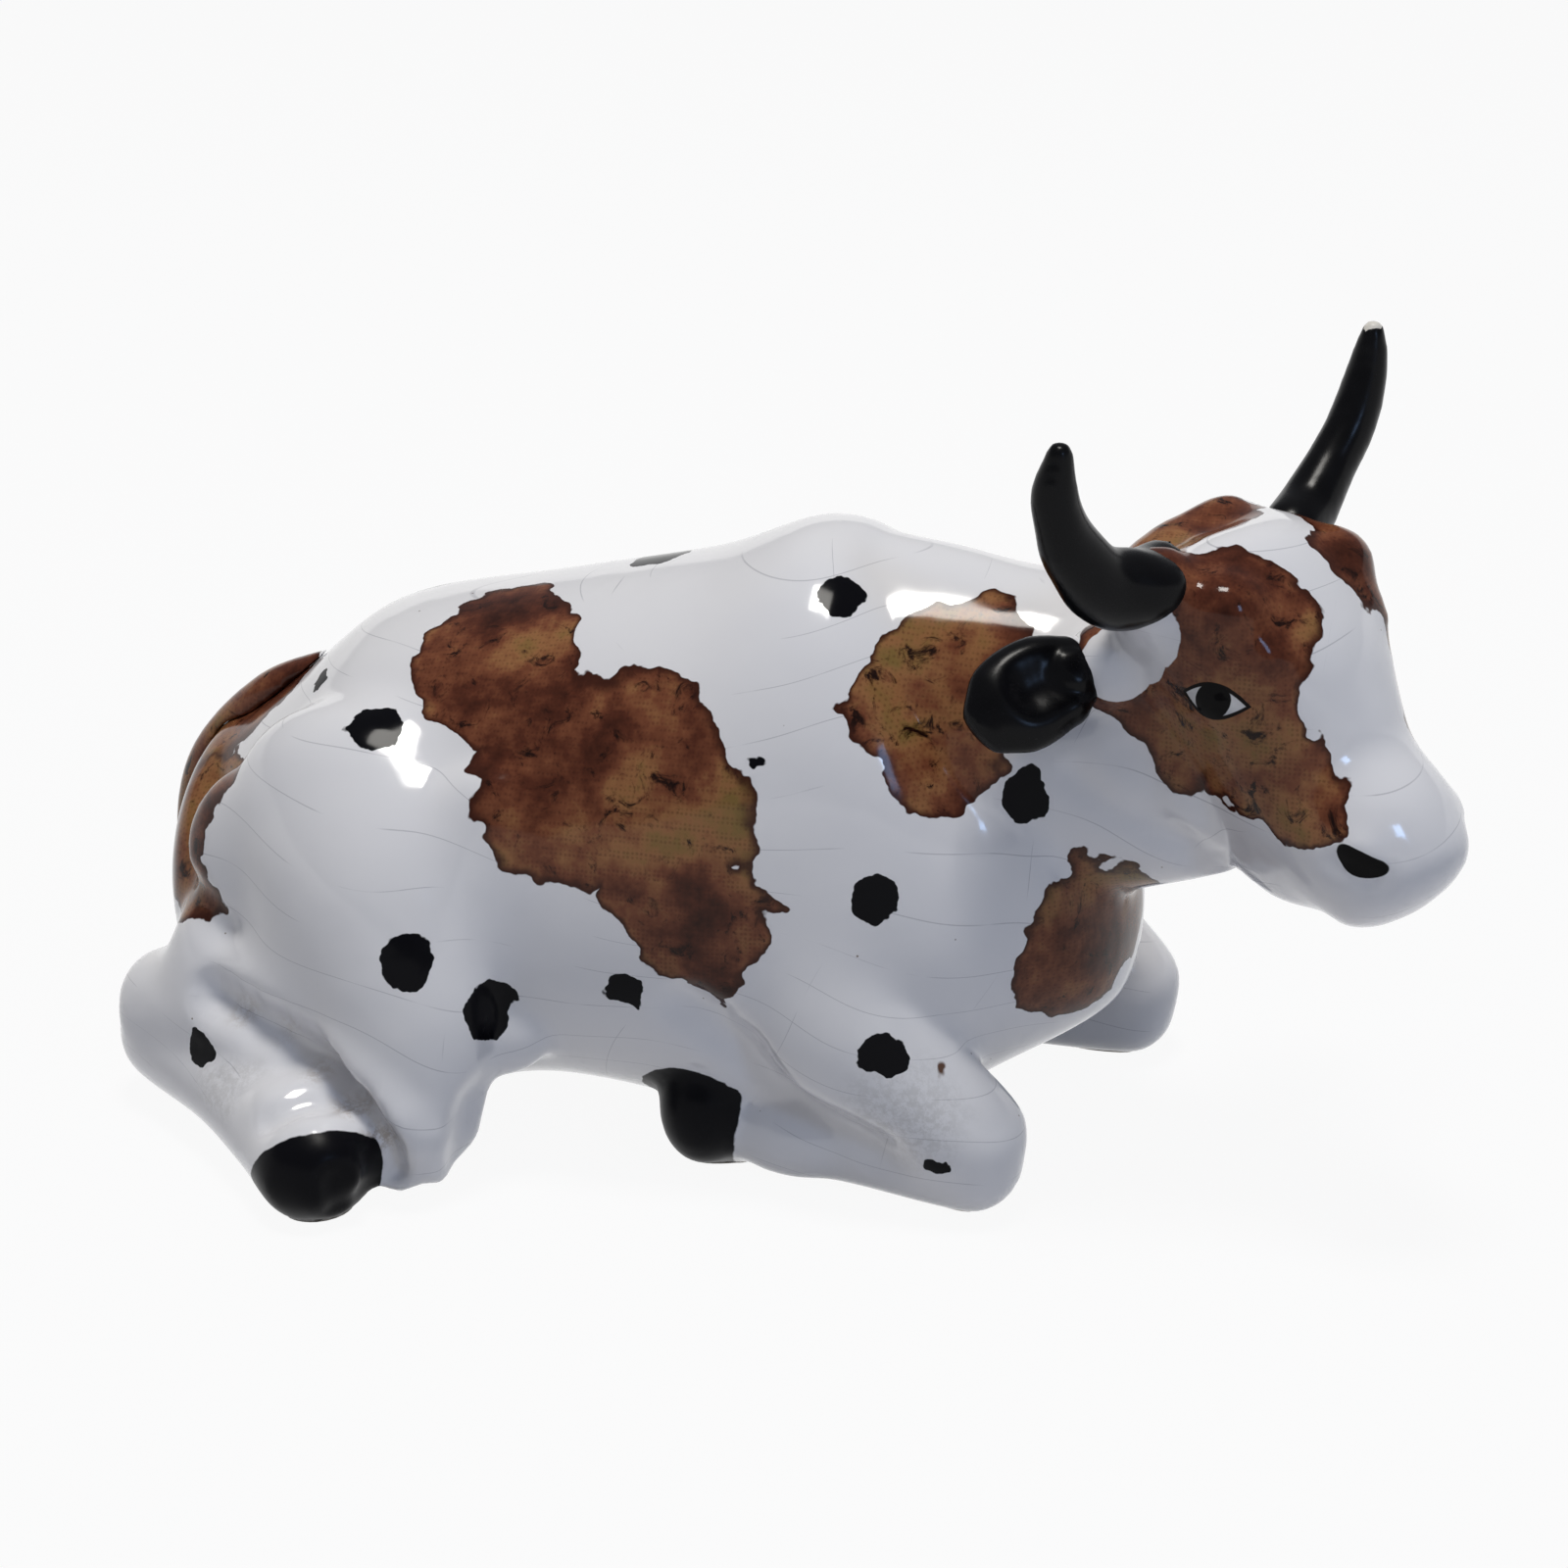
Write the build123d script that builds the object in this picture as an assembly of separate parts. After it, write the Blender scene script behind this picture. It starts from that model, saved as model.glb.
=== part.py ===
from build123d import *

import os
from bisect import bisect_right
from math import cos, radians, sin, sqrt
from typing import NamedTuple

# A reclining cow, cast in ceramic: a hollow body and a hollow head, with solid legs, horns, ears and a tail
# stuck on with liquid clay. Millimetres. +X runs forward to the chest, +Y to the cow's left, +Z up.
# The origin lies on the ground under the withers.


class Ring(NamedTuple):
    """An oval section: its place along a spine, its top, bottom and widest heights, and half its width."""

    along: float
    top: float
    bottom: float
    widest: float
    half_width: float


class Knot(NamedTuple):
    """An oval section of a limb: its middle, and its half sizes across, above and below the middle."""

    at: Vector
    across: float
    above: float
    below: float


class HornKnot(NamedTuple):
    """A round section of a horn, by its distances from the horn's seat on the head."""

    out: float
    up: float
    back: float
    radius: float


class EarKnot(NamedTuple):
    """A flat oval section of an ear, by its distances from the ear's seat on the head."""

    out: float
    back: float
    drop: float
    half_width: float
    half_thickness: float


# Walls, and the bulkheads that close the body and the head where they meet at the neck
BODY_WALL = 3.5
HEAD_WALL = 3.0
BULKHEAD = 3.0

# Pegs: each starts its root outside the skin, and its socket leaves a floor in the wall
# and room for slip all round
SLIP_ROOM = 0.15
SOCKET_FLOOR = 1.0
LEG_PEG_DIAMETER = 5.0
LEG_PEG_ROOT = 4.0
HORN_PEG_DIAMETER = 4.0
HORN_PEG_ROOT = 4.0
EAR_PEG_DIAMETER = 2.4
EAR_PEG_ROOT = 3.0
TAIL_PEG_DIAMETER = 2.4
TAIL_PEG_ROOT = 1.5

# Vents that let the fired clay breathe
BASE_VENT_DIAMETER = 3.5
BASE_VENT_X = -22.0
NECK_VENT_DIAMETER = 3.0

# Torso, from the pin bones at the tail to the breast. What lies below the ground is cut off flat.
PINS = Ring(along=-68.5, top=40.5, bottom=3.0, widest=22.0, half_width=20.5)
THURLS = Ring(along=-60.0, top=46.5, bottom=-1.5, widest=22.5, half_width=25.0)
HOOKS = Ring(along=-49.0, top=54.6, bottom=-1.5, widest=24.0, half_width=28.0)
LOIN = Ring(along=-31.0, top=59.3, bottom=3.0, widest=26.0, half_width=29.0)
RIBS = Ring(along=-12.0, top=64.0, bottom=1.0, widest=28.0, half_width=29.0)
WITHERS = Ring(along=2.0, top=69.0, bottom=-1.5, widest=29.0, half_width=27.5)
SHOULDERS = Ring(along=14.0, top=67.0, bottom=8.0, widest=31.0, half_width=25.0)
BREAST = Ring(along=23.0, top=57.0, bottom=14.0, widest=34.0, half_width=19.0)
RUMP_ROUND = 9.0
BREAST_ROUND = 9.0

# Head: where its crown stands, how it is turned, and its sections from the poll down to the lips
CROWN_FORWARD = 41.0
CROWN_RIGHT = 5.0
CROWN_HEIGHT = 69.5
HEAD_YAW = 27.0
HEAD_PITCH = 47.0
HEAD_ROLL = 4.0
POLL = Ring(along=-4.0, top=2.6, bottom=-10.0, widest=-1.0, half_width=10.5)
FOREHEAD = Ring(along=3.0, top=9.4, bottom=-13.5, widest=0.5, half_width=13.8)
EYES = Ring(along=12.0, top=10.4, bottom=-15.0, widest=1.0, half_width=13.0)
CHEEKS = Ring(along=20.0, top=8.3, bottom=-16.0, widest=-2.0, half_width=11.0)
NOSE = Ring(along=26.5, top=7.1, bottom=-15.0, widest=-2.0, half_width=9.8)
NOSTRILS = Ring(along=33.0, top=8.0, bottom=-11.2, widest=-1.0, half_width=9.6)
LIPS = Ring(along=36.8, top=7.4, bottom=-9.0, widest=-1.0, half_width=8.4)
POLL_ROUND = 4.0
MUZZLE_ROUND = 4.5

# Neck: sections from inside the shoulders to under the head, and the one at which the two castings meet
NECK_SEAM = Knot(Vector(29.0, -2.0, 47.5), 14.0, 18.7, 16.6)
NECK = [
    Knot(Vector(6.0, 0.0, 44.0), 19.0, 23.0, 23.0),
    Knot(Vector(18.0, -0.5, 45.0), 16.5, 21.0, 20.0),
    NECK_SEAM,
    Knot(Vector(37.0, -4.0, 51.5), 12.0, 15.0, 17.0),
    Knot(Vector(43.0, -5.5, 56.0), 10.5, 10.5, 15.5),
]

# Forelegs, folded under the breast. +Y is outwards, and the left one lies further forward.
FOREARM = [
    Knot(Vector(0.0, 17.0, 34.0), 10.0, 13.0, 13.0),
    Knot(Vector(7.0, 21.0, 20.0), 8.5, 10.5, 10.5),
    Knot(Vector(14.5, 22.0, 13.0), 7.0, 8.0, 8.0),
    Knot(Vector(20.6, 21.5, 8.0), 6.5, 7.0, 7.0),
]
KNEE_ROUND = 6.5
FORE_CANNON_ROUND = 5.5
FORE_CANNON = [
    Knot(Vector(21.5, 21.5, 6.5), 6.0, 6.5, 6.5),
    Knot(Vector(8.0, 19.6, 5.6), 5.0, 5.2, 5.2),
    Knot(Vector(-4.0, 17.6, 5.2), 4.8, 5.0, 5.0),
    Knot(Vector(-10.0, 17.0, 5.0), 5.6, 5.8, 5.8),
]
FORE_HOOF_ROUND = 4.5
FORELEG_PEG_X = 11.0
FORELEG_PEG_HEIGHT = 16.0
FORELEG_SHIFT = {"left": 7.5, "right": -1.0}

# Hind legs: thigh down to the stifle, gaskin back to the hock, cannon out and forward to the hoof
THIGH = [
    Knot(Vector(-52.0, 16.0, 38.0), 13.0, 15.0, 15.0),
    Knot(Vector(-45.0, 25.5, 29.0), 11.0, 13.5, 13.5),
    Knot(Vector(-40.0, 30.0, 18.0), 9.0, 10.0, 10.0),
    Knot(Vector(-38.6, 32.5, 6.5), 6.8, 6.8, 6.5),
]
THIGH_ROUND = 8.0
STIFLE_ROUND = 5.0
GASKIN = [
    Knot(Vector(-41.0, 29.0, 16.0), 8.0, 11.0, 11.0),
    Knot(Vector(-58.0, 26.0, 14.5), 7.5, 10.5, 10.0),
    Knot(Vector(-72.8, 20.0, 10.0), 6.5, 8.8, 8.0),
]
HOCK_ROUND = 6.0
HIND_CANNON_ROUND = 5.0
HIND_CANNON = [
    Knot(Vector(-74.0, 19.0, 7.7), 6.0, 7.0, 6.6),
    Knot(Vector(-62.0, 28.4, 7.0), 5.6, 6.2, 5.8),
    Knot(Vector(-52.5, 36.8, 6.0), 5.8, 6.0, 6.0),
    Knot(Vector(-46.6, 41.4, 5.4), 7.0, 6.4, 6.4),
]
HIND_HOOF_ROUND = 5.0
HIND_PEG_X = -46.0
HIND_PEG_HEIGHT = 26.0

# Horns: where they stand on the head, how deep they start in it, and their sections from there to the tip
HORN_DOWN = 0.0
HORN_OUT = 2.0
HORN_SUNK = 3.0
HORN = [
    HornKnot(out=5.0, up=1.0, back=0.5, radius=4.1),
    HornKnot(out=9.8, up=6.6, back=2.0, radius=3.6),
    HornKnot(out=11.9, up=12.0, back=2.0, radius=2.7),
    HornKnot(out=12.0, up=17.2, back=1.4, radius=1.4),
]
HORN_BASE_RADIUS = 4.3
HORN_TIP_ROUND = 1.2

# Ears: the same, with their sections by distance out from the head, back and down
EAR_DOWN = 2.5
EAR_OUT = -10.0
EAR_SUNK = 2.0
EAR = [
    EarKnot(out=4.0, back=0.0, drop=0.0, half_width=3.2, half_thickness=2.6),
    EarKnot(out=9.0, back=1.0, drop=0.6, half_width=5.4, half_thickness=2.8),
    EarKnot(out=13.5, back=2.2, drop=2.4, half_width=5.4, half_thickness=2.4),
    EarKnot(out=16.0, back=3.0, drop=4.0, half_width=3.2, half_thickness=1.5),
]
EAR_BASE_HALF_WIDTH = 2.5
EAR_BASE_HALF_THICKNESS = 2.2
EAR_TIP_ROUND = 1.0

# Tail: its sections from the tail head down the rump to the tuft, and the place of its peg
TAIL = [
    Knot(Vector(-58.0, 0.0, 46.8), 2.4, 2.4, 2.4),
    Knot(Vector(-68.0, 0.5, 41.5), 3.2, 3.0, 3.0),
    Knot(Vector(-76.5, 1.0, 32.0), 3.0, 2.8, 2.8),
    Knot(Vector(-78.6, 2.5, 20.0), 2.8, 2.8, 2.8),
    Knot(Vector(-74.0, 9.0, 8.0), 3.2, 3.0, 3.0),
]
TUFT_ROUND = 2.8
TAIL_PEG_X = -65.0

# Round ends turn in by these angles, in degrees
ROUND_TURNS = (28.0, 56.0, 82.0)
# Handle of the cubic curve that draws a quarter of an ellipse, as a share of its radius
QUARTER_ARC = 0.5523
# Span and depth of the block that stands for the ground
GROUND_SPAN = 1000.0
GROUND_DEPTH = 100.0

SIDES = {"left": 1, "right": -1}
UP = Vector(0, 0, 1)
BACK = Vector(-1, 0, 0)
ACROSS_BODY = Vector(0, 1, 0)


def eased(stations, values, at):
    """The value at a place between stations, on a cubic that is smooth through the values."""
    last = len(stations) - 1
    low = min(max(bisect_right(stations, at) - 1, 0), last - 1)

    def slope(index):
        before = max(index - 1, 0)
        after = min(index + 1, last)
        return (values[after] - values[before]) * (1 / (stations[after] - stations[before]))

    gap = stations[low + 1] - stations[low]
    t = (at - stations[low]) / gap
    return (
        values[low] * (2 * t**3 - 3 * t**2 + 1)
        + slope(low) * (gap * (t**3 - 2 * t**2 + t))
        + values[low + 1] * (3 * t**2 - 2 * t**3)
        + slope(low + 1) * (gap * (t**3 - t**2))
    )


def oval(plane, across, above, below):
    """The twelve control points of an egg-shaped ring of four quarter arcs, from its side over its top."""
    corners = [(across, 0), (0, above), (-across, 0), (0, -below)]
    points = []
    for (x0, y0), (x1, y1) in zip(corners, corners[1:] + corners[:1]):
        points.append((x0, y0))
        points.append((x0 + QUARTER_ARC * x1, y0 + QUARTER_ARC * y1))
        points.append((x1 + QUARTER_ARC * x0, y1 + QUARTER_ARC * y0))
    return [plane.from_local_coords(Vector(x, y)) for x, y in points]


def arc(ring, quarter):
    """The four control points of one quarter of a ring."""
    return [ring[(3 * quarter + step) % len(ring)] for step in range(4)]


def skinned(rings):
    """A closed solid with a smooth skin through rings of control points, and flat ends."""
    stations = [0.0]
    for ring, after in zip(rings, rings[1:]):
        stations.append(stations[-1] + sum((b - a).length for a, b in zip(ring, after)) / len(ring))
    last = len(rings) - 1
    slopes = []
    for index in range(last + 1):
        low = max(index - 1, 0)
        high = min(index + 1, last)
        span = stations[high] - stations[low]
        slopes.append([(b - a) / span for a, b in zip(rings[low], rings[high])])
    faces = []
    for index in range(last):
        third = (stations[index + 1] - stations[index]) / 3
        leaving = [point + slope * third for point, slope in zip(rings[index], slopes[index])]
        arriving = [point - slope * third for point, slope in zip(rings[index + 1], slopes[index + 1])]
        for quarter in range(4):
            rows = [arc(ring, quarter) for ring in (rings[index], leaving, arriving, rings[index + 1])]
            faces.append(Face.make_bezier_surface(rows))
    for ring in (rings[0], rings[last]):
        faces.append(Face(Wire([Edge.make_bezier(*arc(ring, quarter)) for quarter in range(4)])))
    return Solid(Shell(faces))


class Spine:
    """A line through knots, with an oval section at each."""

    def __init__(self, knots, across):
        self.knots = knots
        self.across = Vector(across)

    def plane(self, index, beyond=0.0):
        ahead = self.knots[min(index + 1, len(self.knots) - 1)].at
        behind = self.knots[max(index - 1, 0)].at
        along = (ahead - behind).normalized()
        return Plane(self.knots[index].at + along * beyond, x_dir=self.across, z_dir=along)

    def ring(self, index, reach=0.0, turn=0.0, inset=0.0):
        sizes = [size * cos(turn) - inset for size in self.knots[index][1:]]
        return oval(self.plane(index, reach * sin(turn)), *sizes)

    def solid(self, round_start=0.0, round_end=0.0, inset=0.0):
        """The limb itself. Each end is rounded over its reach, or cut square where that is 0."""
        last = len(self.knots) - 1
        turns = [radians(angle) for angle in ROUND_TURNS]
        rings = [self.ring(index, inset=inset) for index in range(last + 1)]
        if round_start:
            rings = [self.ring(0, -round_start, turn) for turn in reversed(turns)] + rings
        if round_end:
            rings = rings + [self.ring(last, round_end, turn) for turn in turns]
        return skinned(rings)


def ring_knot(ring, middle):
    return Knot(middle, ring.half_width, ring.top - ring.widest, ring.widest - ring.bottom)


def skin_width(rings, along, height):
    """Half the width of a run of rings at a place along it and a height."""
    stations = [ring.along for ring in rings]
    top, bottom, widest, half_width = (eased(stations, column, along) for column in list(zip(*rings))[1:])
    reach = top - widest if height > widest else widest - bottom
    return half_width * sqrt(1 - ((height - widest) / reach) ** 2)


def peg(seat, into, diameter, root, depth):
    """A round peg that starts its root outside the seat and goes in to the depth."""
    into = Vector(into).normalized()
    start = Vector(seat) - into * root
    return Plane(start, z_dir=into) * Cylinder(
        diameter / 2, root + depth, align=(Align.CENTER, Align.CENTER, Align.MIN)
    )


def peg_and_socket(seat, into, diameter, root, wall):
    """A peg for the stuck-on piece, and the slightly larger cutter for the socket in the wall."""
    depth = wall - SOCKET_FLOOR
    made = peg(seat, into, diameter, root, depth - SLIP_ROOM)
    cutter = peg(seat, into, diameter + 2 * SLIP_ROOM, root, depth)
    return made, cutter


def largest(shape):
    """The main solid of a cut, without slivers."""
    return max(shape.solids(), key=lambda solid: solid.volume)


def sided(knots, side, shift=0.0):
    """The knots of a leg on one side, moved forward by the shift."""
    return [knot._replace(at=Vector(knot.at.X + shift, side * knot.at.Y, knot.at.Z)) for knot in knots]


# Torso
TORSO = [PINS, THURLS, HOOKS, LOIN, RIBS, WITHERS, SHOULDERS, BREAST]
torso_places = [ring.along for ring in TORSO]
torso_spine = Spine([ring_knot(r, Vector(r.along, 0, r.widest)) for r in TORSO], ACROSS_BODY)
torso = torso_spine.solid(RUMP_ROUND, BREAST_ROUND)
grounded = [ring._replace(bottom=max(ring.bottom, 0.0)) for ring in TORSO]
hollow_spine = Spine([ring_knot(r, Vector(r.along, 0, r.widest)) for r in grounded], ACROSS_BODY)
torso_hollow = hollow_spine.solid(inset=BODY_WALL)

# Head, set out by the distance down the face from the crown, to the cow's left, and out from the brow
HEAD = [POLL, FOREHEAD, EYES, CHEEKS, NOSE, NOSTRILS, LIPS]
crown = Vector(CROWN_FORWARD, -CROWN_RIGHT, CROWN_HEIGHT)
yaw = radians(HEAD_YAW)
pitch = radians(HEAD_PITCH)
roll = radians(HEAD_ROLL)
level = Vector(sin(yaw), cos(yaw), 0)
face_way = Vector(cos(yaw) * cos(pitch), -sin(yaw) * cos(pitch), -sin(pitch))
upright = face_way.cross(level)
left_way = level * cos(roll) + upright * sin(roll)
brow_way = upright * cos(roll) - level * sin(roll)


def on_head(down, side, out):
    return crown + face_way * down + left_way * side + brow_way * out


head_spine = Spine([ring_knot(r, on_head(r.along, 0, r.widest)) for r in HEAD], left_way)
skull = head_spine.solid(POLL_ROUND, MUZZLE_ROUND)
skull_hollow = head_spine.solid(inset=HEAD_WALL)

# Neck, in two castings that meet at a flat seam
neck_spine = Spine(NECK, left_way)
seam = neck_spine.plane(NECK.index(NECK_SEAM))
neck = neck_spine.solid()
neck_hollow = neck_spine.solid(inset=BODY_WALL)


def below_seam(shape, gap):
    return largest(split(shape, bisect_by=seam.offset(-gap), keep=Keep.BOTTOM))


def above_seam(shape, gap):
    return largest(split(shape, bisect_by=seam.offset(gap), keep=Keep.TOP))


ground = Box(GROUND_SPAN, GROUND_SPAN, GROUND_DEPTH, align=(Align.CENTER, Align.CENTER, Align.MAX))
body_outer = torso + below_seam(neck, 0) - ground
head_outer = above_seam(neck, 0) + skull - body_outer
body_hollow = torso_hollow + below_seam(neck_hollow, BULKHEAD)
head_hollow = above_seam(neck_hollow, BULKHEAD) + skull_hollow

belly_middle = eased(torso_places, [ring.widest for ring in TORSO], BASE_VENT_X)
base_vent = Pos(BASE_VENT_X, 0, 0) * Cylinder(BASE_VENT_DIAMETER / 2, 2 * belly_middle)
neck_vent = seam * Cylinder(NECK_VENT_DIAMETER / 2, 4 * BULKHEAD)

made = {}
body_sockets = []
head_sockets = []

# Legs
for name, side in SIDES.items():
    shift = FORELEG_SHIFT[name]
    forearm = Spine(sided(FOREARM, side, shift), ACROSS_BODY).solid(0, KNEE_ROUND)
    cannon = Spine(sided(FORE_CANNON, side, shift), ACROSS_BODY).solid(FORE_CANNON_ROUND, FORE_HOOF_ROUND)
    foreleg_x = FORELEG_PEG_X + shift
    seat = Vector(foreleg_x, side * skin_width(TORSO, foreleg_x, FORELEG_PEG_HEIGHT), FORELEG_PEG_HEIGHT)
    fore_peg, socket = peg_and_socket(seat, ACROSS_BODY * -side, LEG_PEG_DIAMETER, LEG_PEG_ROOT, BODY_WALL)
    made[f"{name}_foreleg"] = largest(forearm + cannon - body_outer - ground) + fore_peg
    body_sockets.append(socket)

    thigh = Spine(sided(THIGH, side), ACROSS_BODY).solid(THIGH_ROUND, STIFLE_ROUND)
    gaskin = Spine(sided(GASKIN, side), ACROSS_BODY).solid(0, HOCK_ROUND)
    cannon_across = Vector(1, -side, 0)
    hind_cannon = Spine(sided(HIND_CANNON, side), cannon_across).solid(HIND_CANNON_ROUND, HIND_HOOF_ROUND)
    seat = Vector(HIND_PEG_X, side * skin_width(TORSO, HIND_PEG_X, HIND_PEG_HEIGHT), HIND_PEG_HEIGHT)
    hind_peg, socket = peg_and_socket(seat, ACROSS_BODY * -side, LEG_PEG_DIAMETER, LEG_PEG_ROOT, BODY_WALL)
    made[f"{name}_hind_leg"] = largest(thigh + gaskin + hind_cannon - body_outer - ground) + hind_peg
    body_sockets.append(socket)

# Horns and ears
for name, side in SIDES.items():
    out = left_way * side
    seat = on_head(HORN_DOWN, side * skin_width(HEAD, HORN_DOWN, HORN_OUT), HORN_OUT)
    knots = [Knot(seat - out * HORN_SUNK, HORN_BASE_RADIUS, HORN_BASE_RADIUS, HORN_BASE_RADIUS)]
    for section in HORN:
        place = seat + out * section.out + UP * section.up + BACK * section.back
        knots.append(Knot(place, section.radius, section.radius, section.radius))
    horn = Spine(knots, face_way).solid(0, HORN_TIP_ROUND)
    horn_peg, socket = peg_and_socket(seat, out * -1, HORN_PEG_DIAMETER, HORN_PEG_ROOT, HEAD_WALL)
    made[f"{name}_horn"] = largest(horn - head_outer) + horn_peg
    head_sockets.append(socket)

    seat = on_head(EAR_DOWN, side * skin_width(HEAD, EAR_DOWN, EAR_OUT), EAR_OUT)
    base = seat - out * EAR_SUNK
    knots = [Knot(base, EAR_BASE_HALF_WIDTH, EAR_BASE_HALF_THICKNESS, EAR_BASE_HALF_THICKNESS)]
    for section in EAR:
        place = seat + out * section.out + BACK * section.back - UP * section.drop
        knots.append(Knot(place, section.half_width, section.half_thickness, section.half_thickness))
    ear = Spine(knots, face_way).solid(0, EAR_TIP_ROUND)
    ear_peg, socket = peg_and_socket(seat, out * -1, EAR_PEG_DIAMETER, EAR_PEG_ROOT, HEAD_WALL)
    made[f"{name}_ear"] = largest(ear - head_outer) + ear_peg
    head_sockets.append(socket)

# Tail
tail_seat = Vector(TAIL_PEG_X, 0, eased(torso_places, [ring.top for ring in TORSO], TAIL_PEG_X))
tail = Spine(TAIL, ACROSS_BODY).solid(0, TUFT_ROUND)
tail_peg, socket = peg_and_socket(tail_seat, UP * -1, TAIL_PEG_DIAMETER, TAIL_PEG_ROOT, BODY_WALL)
made["tail"] = largest(tail - body_outer - ground - made["left_hind_leg"] - made["right_hind_leg"]) + tail_peg
body_sockets.append(socket)

made["body_shell"] = body_outer - body_hollow - body_sockets - base_vent - neck_vent
made["head_shell"] = head_outer - head_hollow - head_sockets - neck_vent

os.makedirs("parts", exist_ok=True)
for name, shape in made.items():
    export_step(shape, f"parts/{name}.step")
    print(name, len(shape.solids()), round(shape.volume))
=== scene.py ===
# %% [markdown]
# # A glazed ceramic cow, lying down
# The solids of a cast figurine are loaded here and dressed: the cast members melt into one glazed skin,
# the horns and ears get their own finished forms, and procedural materials give the glaze, its crazing
# and its colours. Lengths in this file are in millimetres until they meet Blender, which works in
# metres.

# %% Load the solids
import math

import bmesh
import bpy
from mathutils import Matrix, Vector
from mathutils.kdtree import KDTree


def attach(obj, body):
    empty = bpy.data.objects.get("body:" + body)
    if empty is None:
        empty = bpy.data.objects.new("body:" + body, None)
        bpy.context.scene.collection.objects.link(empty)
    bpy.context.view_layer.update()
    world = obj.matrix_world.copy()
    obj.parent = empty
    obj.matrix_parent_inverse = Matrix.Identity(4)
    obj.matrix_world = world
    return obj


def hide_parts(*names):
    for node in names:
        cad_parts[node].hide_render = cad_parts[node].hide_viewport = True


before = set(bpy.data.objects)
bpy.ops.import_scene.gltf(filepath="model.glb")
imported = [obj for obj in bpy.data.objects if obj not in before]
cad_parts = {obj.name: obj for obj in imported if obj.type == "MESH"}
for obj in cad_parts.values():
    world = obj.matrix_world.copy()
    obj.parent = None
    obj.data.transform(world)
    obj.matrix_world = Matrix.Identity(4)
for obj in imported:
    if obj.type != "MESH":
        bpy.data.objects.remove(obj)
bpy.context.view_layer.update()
MM = 0.001

# %% [markdown]
# ## The camera
# The photograph looks down on the cow's right side from in front of its shoulder. A long lens keeps the
# near and the far horn about equal in size, so the camera stands well back. It could be aimed by hand,
# but numbers are steadier: an aim point, two angles, a distance and a focal length.

# %% Camera
AIM = Vector((-6.8, 0.0, 37.7)) * MM
AZIMUTH = math.radians(16.0)
ELEVATION = math.radians(22.0)
DISTANCE = 420.0 * MM
FOCAL_LENGTH = 86.94
SENSOR_WIDTH = 36.0
NEAREST = 10.0 * MM

bpy.ops.object.select_all(action="DESELECT")
away = Vector((
    math.sin(AZIMUTH) * math.cos(ELEVATION),
    -math.cos(AZIMUTH) * math.cos(ELEVATION),
    math.sin(ELEVATION),
))
bpy.ops.object.camera_add(location=AIM + away * DISTANCE, rotation=away.to_track_quat("Z", "Y").to_euler())
camera = bpy.context.object
camera.name = "camera"
camera.data.lens = FOCAL_LENGTH
camera.data.sensor_width = SENSOR_WIDTH
camera.data.clip_start = NEAREST
bpy.context.scene.camera = camera
print("camera at", [round(part, 3) for part in camera.location])

# %% [markdown]
# ## Small helpers
# Blender's operators act on whatever is selected, so one helper selects a single piece and nothing
# else. Others turn a hex colour into a shader's colour, and add a node with its settings and links, so
# that each material below reads as a list of what it does.

# %% Helpers for pieces, colours and nodes
def pick(*pieces):
    """Select these pieces only, the first one active."""
    bpy.ops.object.select_all(action="DESELECT")
    for piece in pieces:
        piece.select_set(True)
    bpy.context.view_layer.objects.active = pieces[0]


def linear(hex_code):
    """An sRGB hex colour as the linear colour that a shader works with."""
    channels = [int(hex_code[at:at + 2], 16) / 255 for at in (1, 3, 5)]
    return tuple(c / 12.92 if c <= 0.04045 else ((c + 0.055) / 1.055) ** 2.4 for c in channels) + (1.0,)


def add(tree, kind, links=(), **settings):
    """Add a node; each link is a socket's name or number with a value or with another node's output."""
    made = tree.nodes.new(kind)
    for name, value in settings.items():
        setattr(made, name, value)
    for socket, value in links:
        if isinstance(value, bpy.types.NodeSocket):
            tree.links.new(value, made.inputs[socket])
        else:
            made.inputs[socket].default_value = value
    return made


def new_material(name):
    """An empty material, with its shader and its object coordinates in millimetres."""
    material = bpy.data.materials.new(name)
    material.use_nodes = True
    tree = material.node_tree
    tree.nodes.clear()
    shader = add(tree, "ShaderNodeBsdfPrincipled")
    add(tree, "ShaderNodeOutputMaterial", [("Surface", shader.outputs[0])])
    place = add(tree, "ShaderNodeTexCoord").outputs["Object"]
    in_mm = add(tree, "ShaderNodeVectorMath", [(0, place), ("Scale", 1 / MM)], operation="SCALE")
    return material, tree, shader, in_mm.outputs[0]


print("mid grey as a shader colour:", round(linear("#808080")[0], 3))

# %% [markdown]
# ## The head's own directions
# The head is turned aside and tipped down, so places on it are given along the face, to its left side
# and out from the brow. Three unit vectors turn such a place into the object's frame, and the paint of
# the face uses them too.

# %% The head's frame
CROWN = Vector((41.0, -5.0, 69.5))
HEAD_YAW = math.radians(27.0)
HEAD_PITCH = math.radians(47.0)
HEAD_ROLL = math.radians(4.0)
HEAD_LENGTH = 37.0

level = Vector((math.sin(HEAD_YAW), math.cos(HEAD_YAW), 0.0))
face_way = Vector((
    math.cos(HEAD_YAW) * math.cos(HEAD_PITCH),
    -math.sin(HEAD_YAW) * math.cos(HEAD_PITCH),
    -math.sin(HEAD_PITCH),
))
upright = face_way.cross(level)
left_way = level * math.cos(HEAD_ROLL) + upright * math.sin(HEAD_ROLL)
brow_way = upright * math.cos(HEAD_ROLL) - level * math.sin(HEAD_ROLL)


def on_head(down, side, out):
    """A place on the head: down along the face, to its left side, and out from the brow."""
    return CROWN + face_way * down + left_way * side + brow_way * out


print("muzzle tip:", [round(part, 1) for part in on_head(HEAD_LENGTH, 0.0, 0.0)])

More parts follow.
